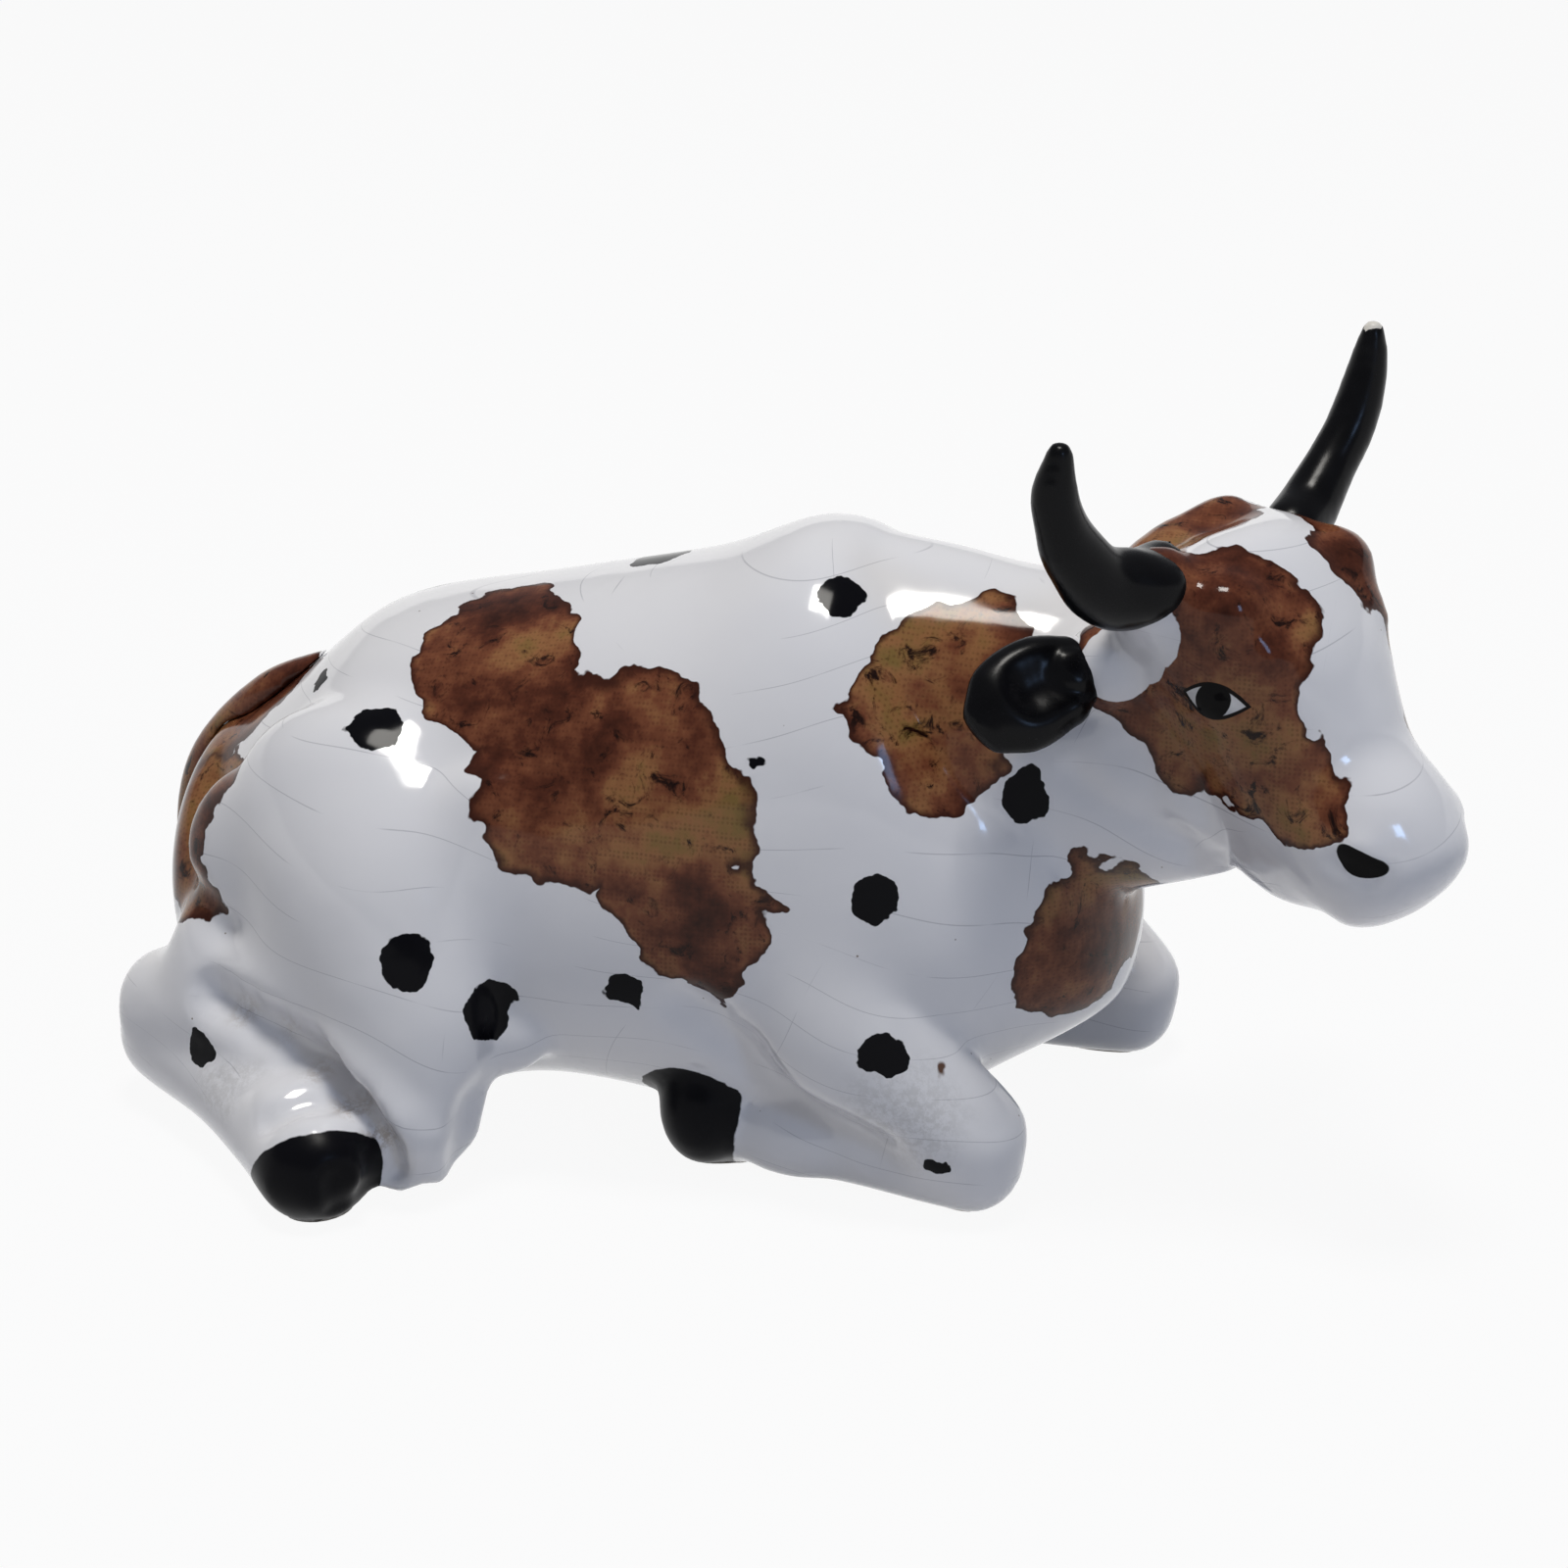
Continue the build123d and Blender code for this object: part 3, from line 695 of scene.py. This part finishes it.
fine = add(tree, "ShaderNodeTexNoise", [
    ("Vector", mm), ("Scale", 1 / CRACK_SIZE), ("Detail", 8.0), ("Roughness", 0.7), ("Distortion", 0.8),
])
in_cracks = step_down(tree, fine.outputs["Fac"], 0.34, 0.46)
mottled = overlay(tree, in_cracks, browns.outputs["Color"], linear("#1d0d09"))
SCREEN_PITCH = 0.5
DOT_SHARE = 0.35
dots = add(tree, "ShaderNodeTexVoronoi", [
    ("Vector", mm), ("Scale", 1 / SCREEN_PITCH), ("Randomness", 0.15),
])
in_dots = step_down(tree, dots.outputs["Distance"], 0.1, 0.5)
dot_share = add(tree, "ShaderNodeMath", [(0, in_dots), (1, DOT_SHARE)], operation="MULTIPLY").outputs[0]
printed = overlay(tree, dot_share, mottled, linear("#3a1d14"))
hide_colour = overlay(tree, off_rim, linear("#3a1c13"), printed)
print("hide patches:", len(HIDE_PATCHES) + len(FACE_PATCHES) + 1)

# %% [markdown]
# ### Black blots and hooves
# Black underglaze is dabbed on with a brush as small blots, and the hooves are dipped in it up to the
# pastern. A blot is a small oval with a shaken edge. A hoof is the part of an oval that lies beyond a
# plane across the foot.

# %% Black blots and hooves
# Each blot: its place and its radius
BLOTS = [
    (-46.0, -23.0, 50.0, 3.4), (-58.0, -12.0, 51.0, 2.8), (-31.0, -31.0, 21.0, 3.4),
    (-3.0, -26.0, 52.0, 3.2), (-16.0, -30.0, 24.0, 2.6), (3.0, -12.0, 66.0, 3.4),
    (24.0, -15.0, 46.0, 2.8), (12.0, -28.0, 20.0, 2.6), (-64.0, -31.0, 12.0, 2.4),
    (-38.0, -36.0, 28.0, 3.2), (10.0, -25.0, 36.0, 3.0), (-22.0, 3.0, 62.0, 3.4),
    (-50.0, 7.0, 55.0, 3.2), (-8.0, 9.0, 66.0, 2.8), (-14.0, 30.0, 47.0, 3.4),
    (-4.0, 30.0, 28.0, 3.2), (-54.0, 26.0, 42.0, 3.2), (-24.0, 31.0, 18.0, 3.0),
    (20.0, 19.0, 53.0, 3.0), (14.0, 30.0, 17.0, 2.8), (-66.0, 30.0, 12.0, 2.4),
    (30.0, 11.0, 43.0, 2.8), (-72.0, -10.0, 22.0, 2.8), (18.0, -26.0, 8.0, 2.2),
]
blot = nearness(tree, fine_shaken, [((x, y, z), (radius, radius, radius)) for x, y, z, radius in BLOTS])
on_blot = step_down(tree, blot, 0.96, 1.0)

# Each hoof: its oval's middle and half-sizes, a place on the plane across the foot, the way to the toe
FORE_HOOF = ((-10.6, 20.5, 6.6), (7.0, 7.8, 8.6), (-6.3, 17.0, 5.0), (-1.0, 0.1, 0.15))
HIND_HOOF = ((-46.0, 44.0, 4.5), (7.8, 7.8, 8.5), (-45.4, 44.0, 10.7), (0.435, 0.674, -0.6))


def dipped(tree, coordinates, side, forward, hoof):
    """1 on the dipped end of a foot."""
    centre, radii, edge, way = hoof
    centre = (centre[0] + forward, side * centre[1], centre[2])
    edge = (edge[0] + forward, side * edge[1], edge[2])
    inside = step_down(tree, nearness(tree, coordinates, [(centre, radii)]), 0.98, 1.0)
    offset = add(tree, "ShaderNodeVectorMath", [(0, coordinates), (1, edge)], operation="SUBTRACT")
    beyond = add(tree, "ShaderNodeVectorMath", [
        (0, offset.outputs[0]), (1, (-way[0], -side * way[1], -way[2])),
    ], operation="DOT_PRODUCT").outputs["Value"]
    below = step_down(tree, beyond, -0.12, 0.12)
    return add(tree, "ShaderNodeMath", [(0, inside), (1, below)], operation="MULTIPLY").outputs[0]


feet = [
    dipped(tree, mildly_shaken, side, forward, hoof)
    for side in HANDS for forward, hoof in ((FORELEG_SHIFT[side], FORE_HOOF), (0.0, HIND_HOOF))
]
on_hoof = feet[0]
for foot in feet[1:]:
    on_hoof = add(tree, "ShaderNodeMath", [(0, on_hoof), (1, foot)], operation="MAXIMUM").outputs[0]
on_black = add(tree, "ShaderNodeMath", [(0, on_blot), (1, on_hoof)], operation="MAXIMUM").outputs[0]
print("blots:", len(BLOTS), "hooves:", len(feet))

# %% [markdown]
# ### Eyes and nostrils
# Each eye is painted: a white almond with a black outline and a large black pupil. The nostril is a
# black bean. Both are drawn in the head's own directions, so a dot product with each direction gives
# the place on the face, and the distance to the side is made positive, which paints both sides at once.

# %% Eyes and nostrils
from_crown = add(tree, "ShaderNodeVectorMath", [(0, mm), (1, CROWN)], operation="SUBTRACT").outputs[0]
down, sideways, out = [
    add(tree, "ShaderNodeVectorMath", [(0, from_crown), (1, way)], operation="DOT_PRODUCT").outputs["Value"]
    for way in (face_way, left_way, brow_way)
]
apart = add(tree, "ShaderNodeMath", [(0, sideways)], operation="ABSOLUTE").outputs[0]
MIDDLE_OF_FACE = 4.0
beside = add(tree, "ShaderNodeMath", [(0, apart), (1, MIDDLE_OF_FACE)], operation="GREATER_THAN").outputs[0]
on_profile = add(tree, "ShaderNodeCombineXYZ", [("X", down), ("Y", out)]).outputs[0]


def drawn(tree, centre, angle):
    """Distances along and across a feature of the face, from its centre, turned by an angle in degrees."""
    turn = math.radians(angle)
    offset = add(tree, "ShaderNodeVectorMath", [
        (0, on_profile), (1, (*centre, 0.0)),
    ], operation="SUBTRACT").outputs[0]
    ways = ((math.cos(turn), math.sin(turn), 0.0), (-math.sin(turn), math.cos(turn), 0.0))
    return [
        add(tree, "ShaderNodeVectorMath", [(0, offset), (1, way)], operation="DOT_PRODUCT").outputs["Value"]
        for way in ways
    ]


def almond(tree, along, across, length, width):
    """A lens shape as a distance: the half-width on its edge, less inside."""
    squared = add(tree, "ShaderNodeMath", [(0, along), (1, along)], operation="MULTIPLY").outputs[0]
    height = add(tree, "ShaderNodeMath", [(0, across)], operation="ABSOLUTE").outputs[0]
    return add(tree, "ShaderNodeMath", [
        (0, squared), (1, width / length**2), (2, height),
    ], operation="MULTIPLY_ADD").outputs[0]


EYE_AT = (13.3, 1.8)
EYE_ANGLE = 42.0
EYE_HALF_LENGTH = 3.5
EYE_HALF_WIDTH = 1.9
WHITE_HALF_WIDTH = 1.45
PUPIL_RADIUS = 1.85
SOFT_EDGE = 0.05
along, across = drawn(tree, EYE_AT, EYE_ANGLE)
lids = almond(tree, along, across, EYE_HALF_LENGTH, EYE_HALF_WIDTH)
on_lids = step_down(tree, lids, EYE_HALF_WIDTH - SOFT_EDGE, EYE_HALF_WIDTH + SOFT_EDGE)
on_white = step_down(tree, lids, WHITE_HALF_WIDTH - SOFT_EDGE, WHITE_HALF_WIDTH + SOFT_EDGE)
pupil = add(tree, "ShaderNodeVectorMath", [
    (0, add(tree, "ShaderNodeCombineXYZ", [("X", along), ("Y", across)]).outputs[0]),
], operation="LENGTH").outputs["Value"]
round_pupil = step_down(tree, pupil, PUPIL_RADIUS - SOFT_EDGE, PUPIL_RADIUS + SOFT_EDGE)
on_pupil = add(tree, "ShaderNodeMath", [(0, round_pupil), (1, on_lids)], operation="MULTIPLY").outputs[0]

NOSTRIL_AT = (34.6, 2.9)
NOSTRIL_ANGLE = 19.0
NOSTRIL_BEND = 0.07
NOSTRIL_HALF_SIZES = (2.6, 1.5)
NOSTRIL_SHRINK = (1 / NOSTRIL_HALF_SIZES[0], 1 / NOSTRIL_HALF_SIZES[1], 0.0)
along, across = drawn(tree, NOSTRIL_AT, NOSTRIL_ANGLE)
squared = add(tree, "ShaderNodeMath", [(0, along), (1, along)], operation="MULTIPLY").outputs[0]
bent = add(tree, "ShaderNodeMath", [
    (0, squared), (1, -NOSTRIL_BEND), (2, across),
], operation="MULTIPLY_ADD").outputs[0]
on_bean = add(tree, "ShaderNodeCombineXYZ", [("X", along), ("Y", bent)]).outputs[0]
scaled = add(tree, "ShaderNodeVectorMath", [(0, on_bean), (1, NOSTRIL_SHRINK)], operation="MULTIPLY")
bean = add(tree, "ShaderNodeVectorMath", [(0, scaled.outputs[0])], operation="LENGTH").outputs["Value"]
on_nostril = step_down(tree, bean, 0.94, 1.0)
print("eye, length and width:", 2 * EYE_HALF_LENGTH, 2 * EYE_HALF_WIDTH)

# %% [markdown]
# ### Crazing, dirt and pinholes
# Old glaze cracks in long gentle lines that run along the body, a few millimetres apart, with a few
# cracks across them. A sloping coordinate, bent by noise and folded back and forth, gives the distance
# to the nearest line. The real cracks are finer than the render can show, so they are drawn as wide as
# they need to show. Dirt has settled in the furrow of the hind leg, grey smudges dull the legs and the
# loin, and a few dark pinholes dot the white.

# %% Crazing, dirt and pinholes
# Each set of cracks: the way across them, half the distance between two, and the noise from which they show
CRAZE_LINES = [((0.14, 0.0, 1.0), 2.6, 0.44), ((1.0, 0.2, -0.35), 9.0, 0.56)]
CRAZE_HALF_WIDTH = 0.07
CRAZE_FADE = 0.08
BEND_SIZE = 42.0
BEND_REACH = 24.0
CRAZED_AREA_SIZE = 13.0
bend = add(tree, "ShaderNodeTexNoise", [("Vector", mm), ("Scale", 1 / BEND_SIZE), ("Detail", 1.0)])
bent = add(tree, "ShaderNodeVectorMath", [
    (0, bend.outputs["Color"]), (1, [BEND_REACH] * 3), (2, mm),
], operation="MULTIPLY_ADD").outputs[0]
patchy = add(tree, "ShaderNodeTexNoise", [("Vector", mm), ("Scale", 1 / CRAZED_AREA_SIZE), ("Detail", 3.0)])
on_craze = None
for way, half_spacing, least in CRAZE_LINES:
    slope = add(tree, "ShaderNodeVectorMath", [(0, bent), (1, way)], operation="DOT_PRODUCT")
    folded = add(tree, "ShaderNodeMath", [
        (0, slope.outputs["Value"]), (1, half_spacing),
    ], operation="PINGPONG").outputs[0]
    line = step_down(tree, folded, 0.3 * CRAZE_HALF_WIDTH, CRAZE_HALF_WIDTH)
    shown = add(tree, "ShaderNodeMapRange", [
        ("Value", patchy.outputs["Fac"]), ("From Min", least), ("From Max", least + CRAZE_FADE),
    ]).outputs[0]
    line = add(tree, "ShaderNodeMath", [(0, line), (1, shown)], operation="MULTIPLY").outputs[0]
    if on_craze is None:
        on_craze = line
    else:
        on_craze = add(tree, "ShaderNodeMath", [(0, on_craze), (1, line)], operation="MAXIMUM").outputs[0]

FURROW = [
    (-60.0, -32.0, 17.5), (-54.0, -34.3, 16.5), (-48.5, -35.8, 14.5), (-44.0, -37.8, 11.6),
    (-40.5, -39.5, 8.0),
]
FURROW_RADII = (3.6, 3.6, 2.8)
DUST_SIZE = 0.9
from_furrow = nearness(tree, mildly_shaken, [(place, FURROW_RADII) for place in FURROW])
grimy = step_down(tree, from_furrow, 0.1, 1.0)
dust = add(tree, "ShaderNodeTexNoise", [
    ("Vector", mm), ("Scale", 1 / DUST_SIZE), ("Detail", 6.0), ("Roughness", 0.75),
])
dusty = step_down(tree, dust.outputs["Fac"], 0.40, 0.60)
grime = add(tree, "ShaderNodeMath", [(0, grimy), (1, dusty)], operation="MULTIPLY").outputs[0]

SMUDGES = [
    ((14.0, -27.0, 13.0), (10.0, 6.0, 9.0)),
    ((-34.0, -24.0, 52.0), (9.0, 8.0, 4.0)),
    ((-58.0, -34.0, 9.0), (9.0, 7.0, 5.0)),
    ((16.0, 28.0, 14.0), (10.0, 6.0, 9.0)),
    ((-56.0, 35.0, 10.0), (9.0, 7.0, 5.0)),
]
smudged = step_down(tree, nearness(tree, fine_shaken, SMUDGES), 0.2, 1.0)
smudge = add(tree, "ShaderNodeMath", [(0, smudged), (1, dusty)], operation="MULTIPLY").outputs[0]

PINHOLE_CELL = 5.0
PINHOLE_RADIUS = 0.16
pinholes = add(tree, "ShaderNodeTexVoronoi", [("Vector", mm), ("Scale", 1 / PINHOLE_CELL)])
pinhole_share = PINHOLE_RADIUS / PINHOLE_CELL
on_pinhole = step_down(tree, pinholes.outputs["Distance"], 0.5 * pinhole_share, pinhole_share)
STAIN = [((18.0, -25.5, 18.1), (0.9, 0.9, 0.9))]
on_stain = step_down(tree, nearness(tree, fine_shaken, STAIN), 0.5, 1.0)
print("sets of cracks:", len(CRAZE_LINES), "grimy places:", len(FURROW), "smudges:", len(SMUDGES))

# %% [markdown]
# ### The colours, layer by layer
# The layers are laid one over another, as a painter does: the white with its cracks, dirt and stains,
# then the hide, the black and the face paint. Each piece of paint could be a material of its own, but
# one stack of layers lets a shaken edge run anywhere. The seat under each horn stays white, and the
# foot, wiped clean for the kiln, is bare clay.

# %% Lay the colours
WHITE = "#dcdce1"
BLUSH_SIZE = 25.0
blush = add(tree, "ShaderNodeTexNoise", [("Vector", mm), ("Scale", 1 / BLUSH_SIZE), ("Detail", 3.0)])
colour = overlay(tree, blush.outputs["Fac"], linear(WHITE), linear("#e6e5e6"))
# Each mark of age: where it lies, how much of it shows, and its colour
AGE_MARKS = [
    (on_craze, 0.45, "#8f8f98"),
    (grime, 0.65, "#8a7358"),
    (smudge, 0.3, "#8d8983"),
    (on_pinhole, 1.0, "#7d7168"),
    (on_stain, 1.0, "#5d4133"),
]
for amount, share, hex_code in AGE_MARKS:
    shown = add(tree, "ShaderNodeMath", [(0, amount), (1, share)], operation="MULTIPLY").outputs[0]
    colour = overlay(tree, shown, colour, linear(hex_code))
# Each part of a seat: its place on the left of the head and its radius
HORN_SEAT = [((2.6, 13.8, 0.0), 5.3), ((4.0, 14.0, -3.0), 4.6), ((4.6, 14.0, -6.0), 4.0)]
HORN_SEATS = [
    (tuple(on_head(down, hand * side, out)), [radius] * 3)
    for (down, side, out), radius in HORN_SEAT for hand in HANDS
]
bare_seat = step_down(tree, nearness(tree, mildly_shaken, HORN_SEATS), 0.97, 1.0)
off_seat = add(tree, "ShaderNodeMath", [(0, 1.0), (1, bare_seat)], operation="SUBTRACT").outputs[0]
hide_share = add(tree, "ShaderNodeMath", [(0, on_hide), (1, off_seat)], operation="MULTIPLY").outputs[0]
colour = overlay(tree, hide_share, colour, hide_colour)
colour = overlay(tree, on_black, colour, linear("#0d0d11"))
inked = on_black
FACE_PAINT = [
    (on_lids, "#120d0c"), (on_white, "#c6c5c6"), (on_pupil, "#0b0a0b"), (on_nostril, "#0b0a0b"),
]
for amount, hex_code in FACE_PAINT:
    layer = add(tree, "ShaderNodeMath", [(0, amount), (1, beside)], operation="MULTIPLY").outputs[0]
    colour = overlay(tree, layer, colour, linear(hex_code))
    inked = add(tree, "ShaderNodeMath", [(0, inked), (1, layer)], operation="MAXIMUM").outputs[0]
height = add(tree, "ShaderNodeSeparateXYZ", [("Vector", mm)]).outputs["Z"]
on_foot = step_down(tree, height, 0.1, 0.35)
colour = overlay(tree, on_foot, colour, linear("#c9bba9"))
tree.links.new(colour, shader.inputs["Base Color"])
print("marks of age:", len(AGE_MARKS), "layers of face paint:", len(FACE_PAINT))

# %% [markdown]
# ### The glaze over it all
# Clear glaze is glass, so the lamps show in it as crisp patches. A coat on top of the shader could give
# that, but the shader's own reflection is enough: strong on the white, weaker on the colours, dulled by
# grime and matt on the foot. A slight wave in the surface makes reflections wobble as on fired glaze.

# %% The glaze itself
GLASS_IOR = 1.52
WEAR_SIZE = 2.0
SMOOTHEST, ROUGHEST = 0.05, 0.16
GRIME_DULLS, HOOF_DULLS = 0.2, 0.22
BARE_CLAY_ROUGHNESS = 0.75
WHITE_GLOSS, HIDE_GLOSS, BLACK_GLOSS = 0.5, 0.14, 0.06
WAVE_SIZE = 9.0
WAVE_HEIGHT = 0.35
wear = add(tree, "ShaderNodeTexNoise", [("Vector", mm), ("Scale", 1 / WEAR_SIZE), ("Detail", 4.0)])
sheen = add(tree, "ShaderNodeMapRange", [
    ("Value", wear.outputs["Fac"]), ("To Min", SMOOTHEST), ("To Max", ROUGHEST),
]).outputs[0]
dull = sheen
for amount, share in ((grime, GRIME_DULLS), (on_hoof, HOOF_DULLS)):
    dull = add(tree, "ShaderNodeMath", [
        (0, amount), (1, share), (2, dull),
    ], operation="MULTIPLY_ADD").outputs[0]
rough = add(tree, "ShaderNodeMix", [(0, on_foot), (2, dull), (3, BARE_CLAY_ROUGHNESS)]).outputs[0]
tree.links.new(rough, shader.inputs["Roughness"])
shader.inputs["IOR"].default_value = GLASS_IOR
painted = add(tree, "ShaderNodeMapRange", [
    ("Value", hide_share), ("To Min", WHITE_GLOSS), ("To Max", HIDE_GLOSS),
]).outputs[0]
gloss = add(tree, "ShaderNodeMix", [(0, inked), (2, painted), (3, BLACK_GLOSS)]).outputs[0]
tree.links.new(gloss, shader.inputs["Specular IOR Level"])

wave = add(tree, "ShaderNodeTexNoise", [("Vector", mm), ("Scale", 1 / WAVE_SIZE), ("Detail", 2.0)])
ripple = add(tree, "ShaderNodeBump", [
    ("Height", wave.outputs["Fac"]), ("Strength", 0.5), ("Distance", WAVE_HEIGHT * MM),
])
tree.links.new(ripple.outputs[0], shader.inputs["Normal"])
print("glaze nodes:", len(tree.nodes))

# %% [markdown]
# ## Dressing the skin and the tail
# One bath of glaze covers body, head, legs and tail, so the skin and the tail share one material, and a
# colour runs on from one to the other. Smooth shading hides the small faces of the meshes. The skin
# then takes the place of the six solids that it was made from.

# %% Dress the skin and the tail
for piece in (skin, tail):
    piece.data.materials.clear()
    piece.data.materials.append(glaze)
    pick(piece)
    bpy.ops.object.shade_smooth()
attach(skin, "root")
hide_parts(*SKIN_NODES)
print("skin stands for", len(SKIN_NODES), "solids")

# %% [markdown]
# ## Black horns and ears
# The horns and ears are dipped in a black that fires to a satin: very dark, with a soft sheen that
# changes a little from place to place. The far horn's tip has lost a chip, which shows the white clay,
# and handling has left faint pale scuffs.

# %% Black glaze
# To the eye: almost no colour, only long soft lights that show the round form
STREAK_SIZE = 3.0
SCUFF_SIZE = 1.2
CHIP_SHAKE = (1.5, 1.2)
CHIP_RADII = (1.1, 1.1, 1.6)
SATIN_SMOOTHEST, SATIN_ROUGHEST = 0.14, 0.34
SATIN_GLOSS = 0.12
black, tree, shader, mm = new_material("satin_black_glaze_dipped")
streaks = add(tree, "ShaderNodeTexNoise", [("Vector", mm), ("Scale", 1 / STREAK_SIZE), ("Detail", 5.0)])
scuffs = add(tree, "ShaderNodeTexNoise", [
    ("Vector", mm), ("Scale", 1 / SCUFF_SIZE), ("Detail", 8.0), ("Roughness", 0.75), ("Distortion", 1.5),
])
unscuffed = step_down(tree, scuffs.outputs["Fac"], 0.64, 0.74)
deep = overlay(tree, streaks.outputs["Fac"], linear("#060607"), linear("#101013"))
worn = overlay(tree, unscuffed, linear("#2c2b2b"), deep)
left_horn = black_pieces[0]
tip = max((vertex.co / MM for vertex in left_horn.data.vertices), key=lambda point: point.z)
from_chip = nearness(tree, shaken_by(tree, mm, mm, *CHIP_SHAKE), [(tuple(tip), CHIP_RADII)])
chip = step_down(tree, from_chip, 0.9, 1.0)
chipped = overlay(tree, chip, worn, linear("#d8d4cc"))
from_crown = add(tree, "ShaderNodeVectorMath", [(0, mm), (1, CROWN)], operation="SUBTRACT").outputs[0]
sideways, out = [
    add(tree, "ShaderNodeVectorMath", [(0, from_crown), (1, way)], operation="DOT_PRODUCT").outputs["Value"]
    for way in (left_way, brow_way)
]
apart = add(tree, "ShaderNodeMath", [(0, sideways)], operation="ABSOLUTE").outputs[0]
# The ears' stalks, close to the head and behind the horns, stay white
near_head = step_down(tree, apart, 14.7, 14.9)
behind = step_down(tree, out, -3.2, -3.0)
on_stalk = add(tree, "ShaderNodeMath", [(0, near_head), (1, behind)], operation="MULTIPLY").outputs[0]
dipped_colour = overlay(tree, on_stalk, chipped, linear(WHITE))
tree.links.new(dipped_colour, shader.inputs["Base Color"])
satin = add(tree, "ShaderNodeMapRange", [
    ("Value", streaks.outputs["Fac"]), ("To Min", SATIN_SMOOTHEST), ("To Max", SATIN_ROUGHEST),
])
tree.links.new(satin.outputs[0], shader.inputs["Roughness"])
shader.inputs["Specular IOR Level"].default_value = SATIN_GLOSS
print("chip at", [round(part, 1) for part in tip])
for piece in black_pieces:
    piece.data.materials.clear()
    piece.data.materials.append(black)
    pick(piece)
    bpy.ops.object.shade_smooth()

# %% [markdown]
# ## Floor and backdrop
# The picture is a cut-out on white, so the floor is a plain pale sheet that reaches past the frame,
# with a low wall of the same paper round it. More light could make it white and would bleach the cow.
# Instead it glows almost white by itself to the camera, and keeps only the soft shadow under the cow.

# %% Floor
FLOOR_SIZE = 6.0
bpy.ops.object.select_all(action="DESELECT")
bpy.ops.mesh.primitive_plane_add(size=FLOOR_SIZE)
floor = bpy.context.object
floor.name = "floor"
# To the eye: matt white paper without an edge
paper = bpy.data.materials.new("white_paper_sweep")
paper.use_nodes = True
paper_tree = paper.node_tree
paper_tree.nodes.clear()
rays = add(paper_tree, "ShaderNodeLightPath")
seen = add(paper_tree, "ShaderNodeMath", [
    (0, rays.outputs["Is Camera Ray"]), (1, rays.outputs["Is Glossy Ray"]),
], operation="MAXIMUM")
seen_through = add(paper_tree, "ShaderNodeMath", [
    (0, seen.outputs[0]), (1, rays.outputs["Is Transmission Ray"]),
], operation="MAXIMUM")
GLOW_SHARE = 0.93
share = add(paper_tree, "ShaderNodeMath", [
    (0, seen_through.outputs[0]), (1, GLOW_SHARE),
], operation="MULTIPLY")
matt = add(paper_tree, "ShaderNodeBsdfDiffuse", [("Color", linear("#c2c3c8"))])
glow = add(paper_tree, "ShaderNodeEmission", [("Strength", 1.0)])
both = add(paper_tree, "ShaderNodeMixShader", [
    (0, share.outputs[0]), (1, matt.outputs[0]), (2, glow.outputs[0]),
])
add(paper_tree, "ShaderNodeOutputMaterial", [("Surface", both.outputs[0])])
floor.data.materials.append(paper)

WALL_HEIGHT = 0.9
bpy.ops.object.select_all(action="DESELECT")
bpy.ops.mesh.primitive_cylinder_add(
    vertices=96, radius=0.5 * FLOOR_SIZE, depth=WALL_HEIGHT, end_fill_type="NOTHING",
    location=(0.0, 0.0, 0.5 * WALL_HEIGHT),
)
backdrop = bpy.context.object
backdrop.name = "backdrop"
backdrop.data.materials.append(paper)
print("floor and backdrop, metres across:", FLOOR_SIZE)

# %% [markdown]
# ## Lamps and world
# Glaze shows its shape by what it mirrors. One soft lamp above gives the bright patches on the back and
# a darker flank, a small cool one in front of the cow adds blue glints on the face, and a pale world
# fills the shadows. One large lamp would be softer, but its mirror image would wash out the colours.

# %% Lamps and world
WORLD_STRENGTH = 0.31
scene = bpy.context.scene
scene.view_settings.view_transform = "Standard"
world = bpy.data.worlds.new("studio")
world.use_nodes = True
scene.world = world
background = world.node_tree.nodes["Background"]
background.inputs["Color"].default_value = linear("#e6e9f0")
background.inputs["Strength"].default_value = WORLD_STRENGTH


def lamp(name, place, aim, size, watts, hex_code):
    """A rectangular soft lamp that looks at an aim point."""
    bpy.ops.object.select_all(action="DESELECT")
    towards = Vector(place) - Vector(aim)
    bpy.ops.object.light_add(
        type="AREA", location=Vector(place), rotation=towards.to_track_quat("Z", "Y").to_euler()
    )
    made = bpy.context.object
    made.name = name
    made.data.shape = "RECTANGLE"
    made.data.size = size[0]
    made.data.size_y = size[1]
    made.data.energy = watts
    made.data.color = linear(hex_code)[:3]


# Places and sizes of the lamps are in metres
MIDDLE = (0.0, 0.0, 0.04)
lamp("overhead", (0.0, -0.06, 0.9), MIDDLE, (0.22, 0.18), 5.0, "#fffcf6")
lamp("window", (0.75, -0.65, 0.62), MIDDLE, (0.14, 0.2), 1.2, "#a9ccff")
